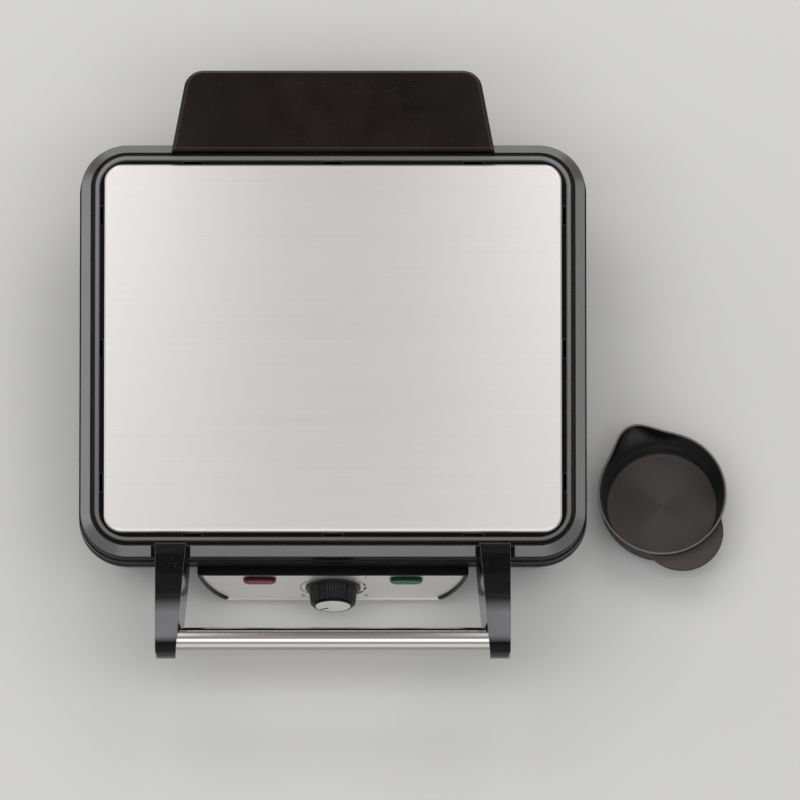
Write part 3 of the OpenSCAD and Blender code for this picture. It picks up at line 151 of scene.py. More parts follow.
class GrillLidSettings(bpy.types.PropertyGroup):
    """Sizes of the lid's edge, as the CAD part has them, and where the painted sheen lies on the handle
    arms.
    """

    width: length("Width", "Width of the lid at its flange", 331 * MM)
    depth: length("Depth", "Depth of the lid at its flange", 284 * MM)
    corner_r: length("Corner radius", "Radius of the lid's corners", 31 * MM)
    flange_run: length("Flange", "Width of the sloped flange, seen from above", 6.8 * MM)
    ridge_in: length("Ridge start", "Distance of the ridge from the edge of the flange", 8.4 * MM)
    ridge_w: length("Ridge", "Width of the ridge", 3.9 * MM)
    # Width of the painted highlight on the ridge's crown
    crown_w: length("Crown", "Width of the rubbed inner part of the ridge", 2.7 * MM)
    arm_root_w: length("Arm root", "Width of a handle arm where it meets the lid", 20.3 * MM)
    saddle_w: length("Saddle", "Width of the open saddle beside a handle arm", 2.8 * MM)
    panel_rise: length("Panel height", "Height of the panel above the lower edge of the flange", 7.3 * MM)
    # Painted sheen on the arms: where it begins, where it is full and where it ends
    sheen_from: length("Worn from", "Distance behind the bar where the wear of the arms begins", 24 * MM)
    sheen_full: length("Worn fully", "Distance behind the bar where the wear is complete", 15 * MM)
    sheen_to: length("Worn to", "Distance in front of the bar's middle where the wear ends", 4 * MM)


class GrillDialSettings(bpy.types.PropertyGroup):
    """Sizes of the printed dial, the knob's cap and the silver foot of the panel's frame."""

    scale_r: length("Scale radius", "Radius of the printed scale", 21.2 * MM)
    thin_line: length("Thin line", "Width of the thin end of the scale", 0.5 * MM)
    thick_line: length("Thick line", "Width of the thick end of the scale", 1.6 * MM)
    ink_t: length("Ink", "Thickness of the ink", 0.04 * MM)
    digit_h: length("Digits", "Height of the digits", 3.6 * MM)
    pointer_w: length("Pointer", "Width of the pointer on the knob's cap", 1.8 * MM)
    cap_ring: length("Cap ring", "Width of the black ring around the knob's cap", 1.5 * MM)
    foot_w: length("Frame foot", "Width of the silver lower edge of the panel's frame", 140 * MM)


class GrillCupSettings(bpy.types.PropertyGroup):
    """Place and sizes of the drip cup, as the CAD part has them."""

    centre_x: length("Centre X", "Place of the cup's axis along X", 216 * MM)
    centre_y: length("Centre Y", "Place of the cup's axis along Y", -78.6 * MM)
    rim_r: length("Rim radius", "Outer radius of the cup at its rim", 42.3 * MM)
    floor_r: length("Floor radius", "Outer radius of the cup at its floor", 38 * MM)
    height: length("Height", "Height of the cup", 30 * MM)
    wall: length("Wall", "Wall of the cup", 1.4 * MM)
    step_h: length("Step height", "Height of the step in the wall", 9 * MM)
    step_w: length("Step", "Width of the step in the wall", 1.6 * MM)
    lip_reach: length("Lip", "How far the pouring lip stands out of the rim", 9.05 * MM)
    lip_depth: length("Lip depth", "Height over which the lip grows", 15 * MM)
    lip_angle: angle("Lip angle", "Direction of the pouring lip, from +X", 115)
    lip_spread: angle("Lip spread", "Angle over which the lip falls to a share of 1/e", 19)
    tab_r: length("Tab radius", "Radius of the round thumb tab", 27 * MM)
    tab_out: length("Tab reach", "Distance of the tab's centre from the cup's axis", 28 * MM)
    tab_drop: length("Tab drop", "Distance of the tab's top below the rim", 5 * MM)
    tab_t: length("Tab thickness", "Thickness of the thumb tab", 2.2 * MM)
    tab_root: length("Tab root", "Distance of the tab's root inside the rim", 1.5 * MM)
    tab_angle: angle("Tab angle", "Direction of the thumb tab, from +X", -62)


class GrillStageSettings(bpy.types.PropertyGroup):
    """Floor, world and camera."""

    floor: colour("Floor", "Pale floor", (0.84, 0.84, 0.835))
    floor_w: length("Floor width", "Width of the square floor", 12.0)
    world: colour("World", "Even light from all around", (0.44, 0.44, 0.44))
    overhead: colour("Overhead", "Light from high up behind the grill", (0.395, 0.373, 0.36))
    rear: colour("Rear", "Light from low behind the grill", (0.2, 0.187, 0.178))
    frame_w: length("Picture width", "Width that the picture shows at the lid", 0.524)
    elevation: angle("Elevation", "Height of the camera above the horizon", 72)
    lens: FloatProperty(name="Lens", description="Focal length of the camera in mm", default=1500.0)
    sensor: FloatProperty(name="Sensor", description="Width of the camera's sensor in mm", default=36.0)
    aim: FloatVectorProperty(
        name="Aim", description="Point that the camera faces", size=3, unit="LENGTH", precision=5,
        default=(0.0439, -0.0339, 0.084),
    )


# Node trees


def put(tree, kind, **values):
    """Adds a node and sets its own settings and the defaults of its sockets."""
    made = tree.nodes.new(kind)
    for key, value in values.items():
        if hasattr(made, key):
            setattr(made, key, value)
        else:
            made.inputs[key.replace("_", " ")].default_value = value
    return made


def join(tree, source, target):
    """Links an output socket to an input socket."""
    tree.links.new(source, target)


def new_group(name, inputs, outputs):
    """Starts a shader node group with named float, colour and vector sockets."""
    group = bpy.data.node_groups.new(name, "ShaderNodeTree")
    kinds = {"f": "NodeSocketFloat", "c": "NodeSocketColor", "v": "NodeSocketVector"}
    for socket, kind, value in inputs:
        made = group.interface.new_socket(socket, in_out="INPUT", socket_type=kinds[kind])
        if value is not None:
            made.default_value = value
    for socket, kind in outputs:
        group.interface.new_socket(socket, in_out="OUTPUT", socket_type=kinds[kind])
    return group, group.nodes.new("NodeGroupInput"), group.nodes.new("NodeGroupOutput")


def new_effect(name, inputs):
    """Starts a group that turns a vector and a colour into a colour, a roughness and a height."""
    return new_group(
        name, [("Vector", "v", None), ("Colour", "c", None), *inputs],
        [("Colour", "c"), ("Roughness", "f"), ("Height", "f")],
    )


def ramp(tree, source, low, high, to_low=0.0, to_high=1.0):
    """Maps a value from one range to another, clamped."""
    made = put(
        tree, "ShaderNodeMapRange", clamp=True, From_Min=low, From_Max=high, To_Min=to_low, To_Max=to_high
    )
    join(tree, source, made.inputs["Value"])
    return made.outputs["Result"]


def above(tree, source, edge, blur=PAINT_BLUR):
    """1 where a value lies above an edge and 0 below it, with a soft step."""
    return ramp(tree, source, edge - blur, edge + blur)


def below(tree, source, edge, blur=PAINT_BLUR):
    """1 where a value lies below an edge and 0 above it, with a soft step."""
    return ramp(tree, source, edge + blur, edge - blur)


def feed(tree, socket, value):
    """Links a socket to another one, or sets its plain value."""
    if isinstance(value, bpy.types.NodeSocket):
        join(tree, value, socket)
    else:
        socket.default_value = value


def worked(tree, operation, *values):
    """Result of a Math node on sockets and plain numbers."""
    made = put(tree, "ShaderNodeMath", operation=operation)
    for socket, value in zip(made.inputs, values):
        feed(tree, socket, value)
    return made.outputs[0]


def worked_vector(tree, operation, *vectors):
    """Result of a Vector Math node on sockets and plain vectors."""
    made = put(tree, "ShaderNodeVectorMath", operation=operation)
    for socket, vector in zip(made.inputs, vectors):
        feed(tree, socket, vector)
    return made.outputs["Value" if operation in ("LENGTH", "DOT_PRODUCT") else "Vector"]


def times(tree, a, b):
    """Product of two value sockets."""
    return worked(tree, "MULTIPLY", a, b)


def scaled(tree, tone, value):
    """A colour scaled by a value."""
    made = put(tree, "ShaderNodeVectorMath", operation="SCALE")
    join(tree, tone, made.inputs[0])
    join(tree, value, made.inputs["Scale"])
    return made.outputs["Vector"]


def blended(tree, share, a, b):
    """Colour a at share 0, colour b at share 1. Each is a socket or a plain colour."""
    made = put(tree, "ShaderNodeMix", data_type="RGBA")
    join(tree, share, made.inputs[0])
    for tone, socket in ((a, made.inputs[6]), (b, made.inputs[7])):
        feed(tree, socket, tone if isinstance(tone, bpy.types.NodeSocket) else (*tone, 1))
    return made.outputs[2]


def coordinates(tree, output="Object"):
    """The object's coordinates, or another output of that node."""
    return put(tree, "ShaderNodeTexCoord").outputs[output]


def axes(tree, output="Object"):
    """The X, Y and Z sockets of the object's coordinates, of its normal or of a world's direction."""
    split = put(tree, "ShaderNodeSeparateXYZ")
    join(tree, coordinates(tree, output), split.inputs[0])
    return split.outputs


def shader_of(tree):
    """The Principled shader of a material's tree."""
    return next(node for node in tree.nodes if node.type == "BSDF_PRINCIPLED")


def two_tone(material, share, base, other):
    """Lets the effect of a material start from a blend of two colours."""
    tree = material.node_tree
    look = next(node for node in tree.nodes if node.type == "GROUP" and "Vector" in node.inputs)
    join(tree, blended(tree, share, base, other), look.inputs["Colour"])


def noise(tree, vector, scale, detail=2.0, roughness=0.5):
    """Value of a noise texture, whose scale counts its features per metre."""
    made = put(tree, "ShaderNodeTexNoise", Scale=scale, Detail=detail, Roughness=roughness)
    join(tree, vector, made.inputs["Vector"])
    return made.outputs["Fac"]


def rough_between(tree, share, into):
    """Roughness between the group's low value at share 0 and its high value at share 1."""
    made = put(tree, "ShaderNodeMix", data_type="FLOAT")
    join(tree, share, made.inputs[0])
    join(tree, into.outputs["Low roughness"], made.inputs[2])
    join(tree, into.outputs["High roughness"], made.inputs[3])
    return made.outputs[0]


def moulded_skin_group():
    """Moulded plastic: soft mottling, a fine mould grain and a few dust specks."""
    group, into, out = new_effect("moulded_skin", [
        ("Dust colour", "c", (0.25, 0.24, 0.23, 1)), ("Dust", "f", 0.3), ("Mottle", "f", 0.2),
        ("Low roughness", "f", 0.15), ("High roughness", "f", 0.25),
    ])
    vector = into.outputs["Vector"]
    cloud = ramp(group, noise(group, vector, 16.0, 3.0), 0.3, 0.7, -1.0, 1.0)
    swing = worked(group, "MULTIPLY_ADD", cloud, into.outputs["Mottle"], 1.0)
    tone = scaled(group, into.outputs["Colour"], swing)
    dots = ramp(group, noise(group, vector, 900.0, 1.0), 0.70, 0.76)
    patches = ramp(group, noise(group, vector, 7.0, 2.0), 0.35, 0.75)
    specks = times(group, times(group, dots, into.outputs["Dust"]), patches)
    join(group, blended(group, specks, tone, into.outputs["Dust colour"]), out.inputs["Colour"])
    ramped_share = ramp(group, noise(group, vector, 60.0, 4.0), 0.3, 0.7)
    join(group, rough_between(group, ramped_share, into), out.inputs["Roughness"])
    join(group, noise(group, vector, 2600.0, 1.0), out.inputs["Height"])
    return group


def brushed_lines_group():
    """Brushed metal: fine lines in tone, roughness and height, along the axis with the smallest scale."""
    group, into, out = new_effect("brushed_lines", [
        ("Lines", "f", 0.08), ("Clouds", "f", 0.05),
        ("Low roughness", "f", 0.28), ("High roughness", "f", 0.4),
    ])
    vector = into.outputs["Vector"]
    fine = noise(group, vector, 1.0, 3.0, 0.65)
    streaks = ramp(group, fine, 0.25, 0.75, -1.0, 1.0)
    clouds = ramp(group, noise(group, vector, 0.16, 2.0), 0.3, 0.7, -1.0, 1.0)
    lined = worked(group, "MULTIPLY_ADD", streaks, into.outputs["Lines"], 1.0)
    total = worked(group, "MULTIPLY_ADD", clouds, into.outputs["Clouds"], lined)
    join(group, scaled(group, into.outputs["Colour"], total), out.inputs["Colour"])
    join(group, rough_between(group, ramp(group, fine, 0.3, 0.7), into), out.inputs["Roughness"])
    join(group, fine, out.inputs["Height"])
    return group


def flecked_coat_group():
    """Sprayed coating: small pale flecks over a dark ground, with an orange-peel height."""
    inputs = [("Fleck colour", "c", (0.2, 0.2, 0.2, 1)), ("Flecks", "f", 0.5)]
    group, into, out = new_effect("flecked_coat", inputs)
    vector = into.outputs["Vector"]
    cells = put(group, "ShaderNodeTexVoronoi", feature="F1", Scale=520.0)
    join(group, vector, cells.inputs["Vector"])
    dots = times(group, ramp(group, cells.outputs["Distance"], 0.30, 0.18), into.outputs["Flecks"])
    some = ramp(group, noise(group, vector, 240.0, 1.0), 0.5, 0.56)
    cloud = ramp(group, noise(group, vector, 9.0, 3.0), 0.3, 0.7, 0.85, 1.15)
    ground = scaled(group, into.outputs["Colour"], cloud)
    flecked = blended(group, times(group, dots, some), ground, into.outputs["Fleck colour"])
    join(group, flecked, out.inputs["Colour"])
    peel = noise(group, vector, 420.0, 2.0)
    join(group, ramp(group, peel, 0.3, 0.7, 0.38, 0.55), out.inputs["Roughness"])
    join(group, peel, out.inputs["Height"])
    return group


def edge_highlight_group():
    """1 along hard edges, where a rounded normal leaves the true one, and 0 on flat faces; it masks a
    painted highlight line.
    """
    group, into, out = new_group("edge_highlight", [("Radius", "f", 0.5 * MM)], [("Share", "f")])
    rounded = put(group, "ShaderNodeBevel", samples=8)
    join(group, into.outputs["Radius"], rounded.inputs["Radius"])
    true = put(group, "ShaderNodeNewGeometry").outputs["Normal"]
    alike = worked_vector(group, "DOT_PRODUCT", rounded.outputs["Normal"], true)
    join(group, ramp(group, alike, 0.985, 0.86), out.inputs["Share"])
    return group


GROUPS = {}


def effect(kind):
    """The shared node group of that kind, built once."""
    if kind not in GROUPS:
        GROUPS[kind] = {
            "skin": moulded_skin_group, "lines": brushed_lines_group, "flecks": flecked_coat_group,
            "edges": edge_highlight_group,
        }[kind]()
    return GROUPS[kind]


def finish(name, kind, base, shader, values, stretch=None, depth=0.0, bevel=0.0, edge=None):
    """A material: the shared effect of that kind feeds colour, roughness and bump of one Principled shader.

    shader sets sockets of the shader, values those of the effect, stretch the scale of the Mapping node,
    depth is the bump's depth, bevel the radius by which it rounds hard edges, both in metres, and edge is
    the colour of a painted highlight line along them.
    """
    material = bpy.data.materials.new(name)
    material.use_nodes = True
    tree = material.node_tree
    tree.nodes.clear()
    surface = put(tree, "ShaderNodeBsdfPrincipled")
    out = put(tree, "ShaderNodeOutputMaterial")
    join(tree, surface.outputs[0], out.inputs[0])
    for key, value in shader.items():
        surface.inputs[key].default_value = value
    place = coordinates(tree)
    if stretch:
        mapping = put(tree, "ShaderNodeMapping", vector_type="POINT", Scale=stretch)
        join(tree, place, mapping.inputs["Vector"])
        place = mapping.outputs["Vector"]
    look = put(tree, "ShaderNodeGroup", node_tree=effect(kind))
    look.inputs["Colour"].default_value = (*base, 1)
    for key, value in values.items():
        look.inputs[key].default_value = value
    join(tree, place, look.inputs["Vector"])
    tone = look.outputs["Colour"]
    # Painted highlight: a pale line blends in along hard edges
    if edge:
        edges = put(tree, "ShaderNodeGroup", node_tree=effect("edges"))
        tone = blended(tree, edges.outputs["Share"], tone, edge)
    join(tree, tone, surface.inputs["Base Color"])
    join(tree, look.outputs["Roughness"], surface.inputs["Roughness"])
    normal = None
    if bevel:
        normal = put(tree, "ShaderNodeBevel", samples=6, Radius=bevel).outputs["Normal"]
    if depth:
        bump = put(tree, "ShaderNodeBump", Strength=1.0, Distance=depth)
        join(tree, look.outputs["Height"], bump.inputs["Height"])
        if normal:
            join(tree, normal, bump.inputs["Normal"])
        normal = bump.outputs["Normal"]
    if normal:
        join(tree, normal, surface.inputs["Normal"])
    return material


def skin(dust, mottle, low, high):
    """Values of the moulded skin: dust, mottling and both ends of its roughness."""
    return {"Dust": dust, "Mottle": mottle, "Low roughness": low, "High roughness": high}


def brushed(lines, clouds, low, high):
    """Values of the brushed lines: contrast of lines and of clouds, and both ends of the roughness."""
    return {"Lines": lines, "Clouds": clouds, "Low roughness": low, "High roughness": high}


def dress(material, *nodes):
    """Gives CAD nodes a material."""
    for name in nodes:
        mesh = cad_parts[name].data
        mesh.materials.clear()
        mesh.materials.append(material)


# Surfaces


def middle(node):
    """The middle of a CAD node's box at rest."""
    return [(low + high) / 2 for low, high in zip(*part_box(node))]


def grid_faces(rows, columns, wrap_rows=False, wrap_columns=False):
    """Quads of a grid of rows x columns points, which may close on itself either way."""
    r = np.arange(rows if wrap_rows else rows - 1)
    c = np.arange(columns if wrap_columns else columns - 1)
    r, c = np.meshgrid(r, c, indexing="ij")
    r, c = r.ravel(), c.ravel()
    r1, c1 = (r + 1) % rows, (c + 1) % columns
    return np.stack([r * columns + c, r * columns + c1, r1 * columns + c1, r1 * columns + c], axis=1)


def make_piece(name, points, faces, material, body, slot, smooth=True):
    """A mesh object at the origin from points and faces, turned outwards, that rides on a body."""
    mesh = bpy.data.meshes.new(name)
    mesh.from_pydata(np.asarray(points).tolist(), [], [list(map(int, f)) for f in faces])
    work = bmesh.new()
    work.from_mesh(mesh)
    bmesh.ops.remove_doubles(work, verts=work.verts, dist=1e-7)
    bmesh.ops.recalc_face_normals(work, faces=work.faces)
    work.to_mesh(mesh)
    work.free()
    mesh.polygons.foreach_set("use_smooth", np.full(len(mesh.polygons), smooth))
    mesh.materials.append(material)
    made = bpy.data.objects.new(name, mesh)
    bpy.context.scene.collection.objects.link(made)
    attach(made, body)
    return made


def printed_line(path, width, y_front, y_back):
    """A line of ink: a rectangle carried along a path of (x, z) points, from y_back to y_front.

    The two long edges lie half a width to each side of the path, along its normal.
    """
    path = np.asarray(path, float)
    along = np.gradient(path, axis=0)
    along /= np.linalg.norm(along, axis=1, keepdims=True)
    across = np.stack([-along[:, 1], along[:, 0]], axis=1) * width / 2
    ring = np.empty((len(path), 4, 3))
    for i, (side, y) in enumerate(((1, y_front), (-1, y_front), (-1, y_back), (1, y_back))):
        edge = path + side * across
        ring[:, i] = np.stack([edge[:, 0], np.full(len(path), y), edge[:, 1]], axis=1)
    last = 4 * (len(path) - 1)
    faces = grid_faces(len(path), 4, False, True).tolist()
    faces += [[0, 1, 2, 3], [last + 3, last + 2, last + 1, last]]
    return ring.reshape(-1, 3), faces


def merged(parts):
    """Several (points, faces) as one."""
    points, faces, start = [], [], 0
    for p, f in parts:
        points.append(p)
        faces += [[i + start for i in face] for face in f]
        start += len(p)
    return np.concatenate(points), faces


def arc(centre, radius, start_deg, end_deg, steps=32):
    """Points (x, z) of an arc about a centre; angles count from +X towards +Z."""
    a = np.radians(np.linspace(start_deg, end_deg, steps))
    return np.stack([centre[0] + radius * np.cos(a), centre[1] + radius * np.sin(a)], axis=1)


def digit_mesh(text, height, centre, y_front, depth):
    """Points and faces of a digit that stands in the XZ plane, facing -Y, about a centre (x, z)."""
    curve = bpy.data.curves.new("digit_" + text, "FONT")
    curve.body, curve.size, curve.extrude = text, height / DIGIT_SHARE, depth / 2
    curve.align_x, curve.align_y = "CENTER", "CENTER"
    holder = bpy.data.objects.new("digit_" + text, curve)
    mesh = bpy.data.meshes.new_from_object(holder)
    points = np.array([v.co for v in mesh.vertices]).reshape(-1, 3)
    points = points - (points.min(0) + points.max(0)) / 2
    stood = np.stack(
        [centre[0] + points[:, 0], y_front + depth / 2 - points[:, 2], centre[1] + points[:, 1]], axis=1
    )
    faces = [list(p.vertices) for p in mesh.polygons]
    bpy.data.objects.remove(holder)
    bpy.data.curves.remove(curve)
    bpy.data.meshes.remove(mesh)
    return stood, faces


# Operators


class GRILL_OT_dress_mouldings(bpy.types.Operator):
    """Gives the black mouldings their glossy and satin plastics, with painted highlights along edges and
    the ridge, a painted reflection on the flange and a painted sheen on the arms
    """

    bl_idname = "grill.dress_mouldings"
    bl_label = "Dress mouldings"

    def execute(self, context):
        look, lid_sizes = context.scene.grill_finish, context.scene.grill_lid
        gloss = {"depth": GLOSS_GRAIN, "values": skin(0.25, 0.15, 0.16, 0.26)}
        lid = finish(
            "lid_moulding", "skin", look.gloss_black,
            {"Specular IOR Level": 0.04, "Coat Roughness": 0.28, "Coat IOR": 2.3},
            bevel=0.7 * MM, edge=look.edge_highlight, **gloss,
        )
        self.coat_and_paint_flange(lid, look, lid_sizes)
        dress(lid, "lid_shell")
        rim = finish(
            "rim_moulding", "skin", look.gloss_black, {"Specular IOR Level": 0.04}, bevel=0.5 * MM, **gloss
        )
        dress(rim, "base_rim")
        panel_frame = finish(
            "panel_frame", "skin", look.gloss_black, {"Specular IOR Level": 0.12}, bevel=0.5 * MM, **gloss
        )
        self.silver_foot(panel_frame, look, context.scene.grill_dial.foot_w)
        dress(panel_frame, "control_fascia")
        hood = finish(
            "hood_gloss", "skin", look.hood_black, {"Specular IOR Level": 0.14},
            skin(0.2, 0.6, 0.12, 0.24), depth=GLOSS_GRAIN, bevel=1.2 * MM, edge=look.edge_highlight,
        )
        dress(hood, "hinge_hood")
        arms = finish(
            "arm_gloss", "skin", look.arm_black, {"Specular IOR Level": 0.12, "Coat Roughness": 0.06},
            skin(0.3, 0.2, 0.14, 0.24), depth=GLOSS_GRAIN, bevel=1.4 * MM, edge=look.edge_highlight,
        )
        self.paint_arm_sheen(arms, look, lid_sizes)
        dress(arms, "handle_arm_left", "handle_arm_right")
        satin = finish(
            "satin_black_moulding", "skin", look.satin_black, {"Specular IOR Level": 0.45},
            skin(0.2, 0.15, 0.38, 0.5), depth=0.01 * MM, bevel=0.6 * MM,
        )
        dress(satin, "base_shell", "cup_bay_liner", "hinge_post_left", "hinge_post_right", "cord_gland")
        rubber = finish(
            "foot_rubber", "skin", look.rubber, {"Specular IOR Level": 0.3},
            skin(0.6, 0.25, 0.7, 0.9), depth=0.03 * MM,
        )
        dress(rubber, "foot_front_left", "foot_front_right", "foot_rear_left", "foot_rear_right")
        return {"FINISHED"}

    def coat_and_paint_flange(self, material, look, lid):
        """Coats the flange and the ridge and paints both grey, by the distance from the lid's rounded
        outline: a painted reflection on the flange and a painted highlight on the ridge's crown.
        """
        tree = material.node_tree
        inset = (lid.width / 2 - lid.corner_r, lid.depth / 2 - lid.corner_r, 1.0)
        past = worked_vector(tree, "SUBTRACT", worked_vector(tree, "ABSOLUTE", coordinates(tree)), inset)
        reach = worked_vector(tree, "LENGTH", worked_vector(tree, "MAXIMUM", past, (0, 0, 0)))
        split = axes(tree)
        foot_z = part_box("lid_panel")[1].z - lid.panel_rise
        outside = above(tree, reach, lid.corner_r - lid.flange_run)
        share = times(tree, outside, above(tree, split["Z"], foot_z))
        share = times(tree, share, self.beside_arms(tree, split, lid))
        half_w = lid.crown_w / 2
        crown_r = lid.corner_r - lid.ridge_in - lid.ridge_w + half_w
        off = worked(tree, "ABSOLUTE", worked(tree, "SUBTRACT", reach, crown_r))
        coated = worked(tree, "MAXIMUM", share, below(tree, off, half_w))
        join(tree, coated, shader_of(tree).inputs["Coat Weight"])
        # Painted highlight: the ridge's crown blends to its grey
        crown = ramp(tree, off, half_w - PAINT_BLUR, half_w - 4 * PAINT_BLUR)
        ridged = blended(tree, crown, look.gloss_black, look.ridge_highlight_grey)
        # Painted reflection: the flange blends to its grey
        two_tone(material, share, ridged, look.flange_reflection_grey)

    def beside_arms(self, tree, split, lid):
        """0 on the front saddles beside the handle arms, and 1 elsewhere, so the painted flange reflection
        stays off the saddles.
        """
        root_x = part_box("handle_arm_right")[1].x - lid.arm_root_w / 2
        across = worked(tree, "SUBTRACT", worked(tree, "ABSOLUTE", split["X"]), root_x)
        near = below(tree, worked(tree, "ABSOLUTE", across), lid.arm_root_w / 2 + lid.saddle_w)
        front = ramp(tree, split["Y"], 0.0, -PAINT_BLUR)
        return worked(tree, "SUBTRACT", 1.0, times(tree, near, front))

    def silver_foot(self, material, look, foot_w):
        """Silvers the straight lower edge of the panel's frame, as if the silver plate ran over it."""
        tree = material.node_tree
        split = axes(tree)
        low = below(tree, split["Z"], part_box("control_plate")[0].z + 3 * PAINT_BLUR)
        straight = below(tree, worked(tree, "ABSOLUTE", split["X"]), foot_w / 2, MM)
        two_tone(material, times(tree, low, straight), look.gloss_black, look.plate_silver)

    def paint_arm_sheen(self, material, look, lid):
        """Paints a pale sheen on the upward faces of the arms close to the bar, and takes the coat off
        faces that point up.
        """
        tree = material.node_tree
        along, up = axes(tree)["Y"], axes(tree, "Normal")["Z"]
        bar_y = middle("handle_bar")[1]
        ramped_share = ramp(tree, along, bar_y + lid.sheen_from, bar_y + lid.sheen_full)
        grip = times(tree, ramped_share, ramp(tree, along, bar_y - lid.sheen_to, bar_y))
        # Painted sheen: upward faces near the bar blend towards the pale sheen colour
        two_tone(material, times(tree, grip, ramp(tree, up, 0.35, 0.65)), look.arm_black, look.arm_sheen)
        join(tree, ramp(tree, up, 0.8, 0.5), shader_of(tree).inputs["Coat Weight"])


class GRILL_OT_dress_steel(bpy.types.Operator):
    """Gives the steel panel, silver plate, bar and cap their brushed metals"""

    bl_idname = "grill.dress_steel"
    bl_label = "Dress steel"

    def execute(self, context):
        look = context.scene.grill_finish
        panel = finish(
            "brushed_panel", "lines", look.steel,
            {"Metallic": 1.0, "Anisotropic": 0.75, "Anisotropic Rotation": 0.25},
            brushed(0.03, 0.006, 0.28, 0.34), stretch=(9.0, 3400.0, 3400.0), depth=0.004 * MM,
        )
        tree = panel.node_tree
        along_x = put(tree, "ShaderNodeCombineXYZ", X=1.0).outputs[0]
        join(tree, along_x, shader_of(tree).inputs["Tangent"])
        dress(panel, "lid_panel")
        plate = finish(
            "silver_plate", "lines", look.plate_silver, {"Metallic": 0.85},
            brushed(0.04, 0.02, 0.36, 0.46), stretch=(8.0, 2600.0, 2600.0), depth=0.006 * MM,
        )
        dress(plate, "control_plate")
        bar = finish(
            "polished_bar", "lines", look.bar_steel, {"Metallic": 1.0},
            brushed(0.04, 0.02, 0.1, 0.16), stretch=(5.0, 1800.0, 1800.0), depth=0.001 * MM,
        )
        dress(bar, "handle_bar")
        cap = finish(
            "spun_cap", "lines", look.cap_silver, {"Metallic": 0.8}, brushed(0.03, 0.02, 0.34, 0.44),
            stretch=(2400.0, 2400.0, 60.0), depth=0.004 * MM, bevel=0.4 * MM,
        )
        self.ring_cap(cap, look, context.scene.grill_dial.cap_ring)
        dress(cap, "knob_cap")
        return {"FINISHED"}

    def ring_cap(self, material, look, ring_w):
        """Blackens a ring along the edge of the knob's cap, by the distance from its axis."""
        tree = material.node_tree
        low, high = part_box("knob_cap")
        x, _, z = middle("knob_cap")
        place = put(tree, "ShaderNodeMapping", vector_type="POINT", Location=(-x, 0, -z), Scale=(1, 0, 1))
        join(tree, coordinates(tree), place.inputs["Vector"])
        out = worked_vector(tree, "LENGTH", place.outputs[0])
        share = above(tree, out, (high.x - low.x) / 2 - ring_w, 0.8 * PAINT_BLUR)
        two_tone(material, share, look.cap_silver, look.knob_black)


class GRILL_OT_dress_controls(bpy.types.Operator):
    """Gives the lenses, lamps, terminal block, fuse and knob their plastics"""

    bl_idname = "grill.dress_controls"
    bl_label = "Dress controls"

    def execute(self, context):
        look = context.scene.grill_finish
        for name, tint, node in (
            ("red_lens", look.red_lens, "power_lamp_lens"),
            ("green_lens", look.green_lens, "ready_lamp_lens"),
        ):
            lens = finish(
                name, "skin", tint, {"Transmission Weight": 0.2, "IOR": 1.5, "Specular IOR Level": 0.12},
                skin(0.1, 0.12, 0.12, 0.2), bevel=0.5 * MM,
            )
            tree = lens.node_tree
            # Painted shade: the lens's upward faces darken to a share of its colour
            shade = [tone * LENS_TOP_SHADE for tone in tint]
            two_tone(lens, ramp(tree, axes(tree, "Normal")["Z"], 0.35, 0.8), tint, shade)
            dress(lens, node)
        lamp = finish(
            "lamp_body", "skin", look.lamp_body, {"Specular IOR Level": 0.5}, skin(0.1, 0.1, 0.3, 0.4)
        )
        dress(lamp, "power_lamp", "ready_lamp", "terminal_block", "thermal_fuse")
        knob = finish(
            "knob_plastic", "skin", look.knob_black, {"Specular IOR Level": 0.3},
            skin(0.35, 0.2, 0.2, 0.32), depth=0.006 * MM, bevel=0.3 * MM,
        )
        dress(knob, "knob")
        return {"FINISHED"}


class GRILL_OT_dress_cooking(bpy.types.Operator):
    """Gives the grill plates, heaters and reflectors their finishes"""

    bl_idname = "grill.dress_cooking"
    bl_label = "Dress cooking parts"

    def execute(self, context):
        look = context.scene.grill_finish
        coat = finish(
            "plate_coating", "flecks", look.coating, {"Specular IOR Level": 0.5},
            {"Flecks": 0.55}, depth=0.02 * MM, bevel=0.6 * MM,
        )
        dress(coat, "lower_plate", "upper_plate", "fat_spout")
        tube = finish("heater_tube", "skin", look.heater, {"Metallic": 0.8}, skin(0.2, 0.4, 0.4, 0.55))
        dress(tube, "lower_heater", "upper_heater")
        sheet = finish(
            "aluminised_sheet", "lines", look.sheet, {"Metallic": 1.0},
            brushed(0.04, 0.05, 0.3, 0.4), stretch=(8.0, 900.0, 900.0),
        )
        dress(sheet, "lower_reflector", "upper_reflector")
        return {"FINISHED"}


class GRILL_OT_dress_hardware(bpy.types.Operator):
    """Gives the screws, rods, clips, lugs and thermostat their metals"""

    bl_idname = "grill.dress_hardware"
    bl_label = "Dress hardware"

    def execute(self, context):
        look = context.scene.grill_finish
        zinc = finish(
            "zinc_plate", "skin", look.zinc, {"Metallic": 1.0}, skin(0.1, 0.12, 0.28, 0.4), depth=0.004 * MM
        )
        dress(
            zinc, "foot_screws", "lower_plate_screws", "upper_plate_screws", "handle_screws",
            "handle_tie_rod", "hinge_rod", "rod_clips", "thermostat", "thermostat_nut", "thermostat_shaft",
        )
        alloy = finish(
            "die_cast_alloy", "skin", look.alloy, {"Metallic": 1.0},
            skin(0.1, 0.2, 0.4, 0.52), depth=0.01 * MM, bevel=0.5 * MM,
        )
        dress(alloy, "hinge_lug_left", "hinge_lug_right")
        return {"FINISHED"}


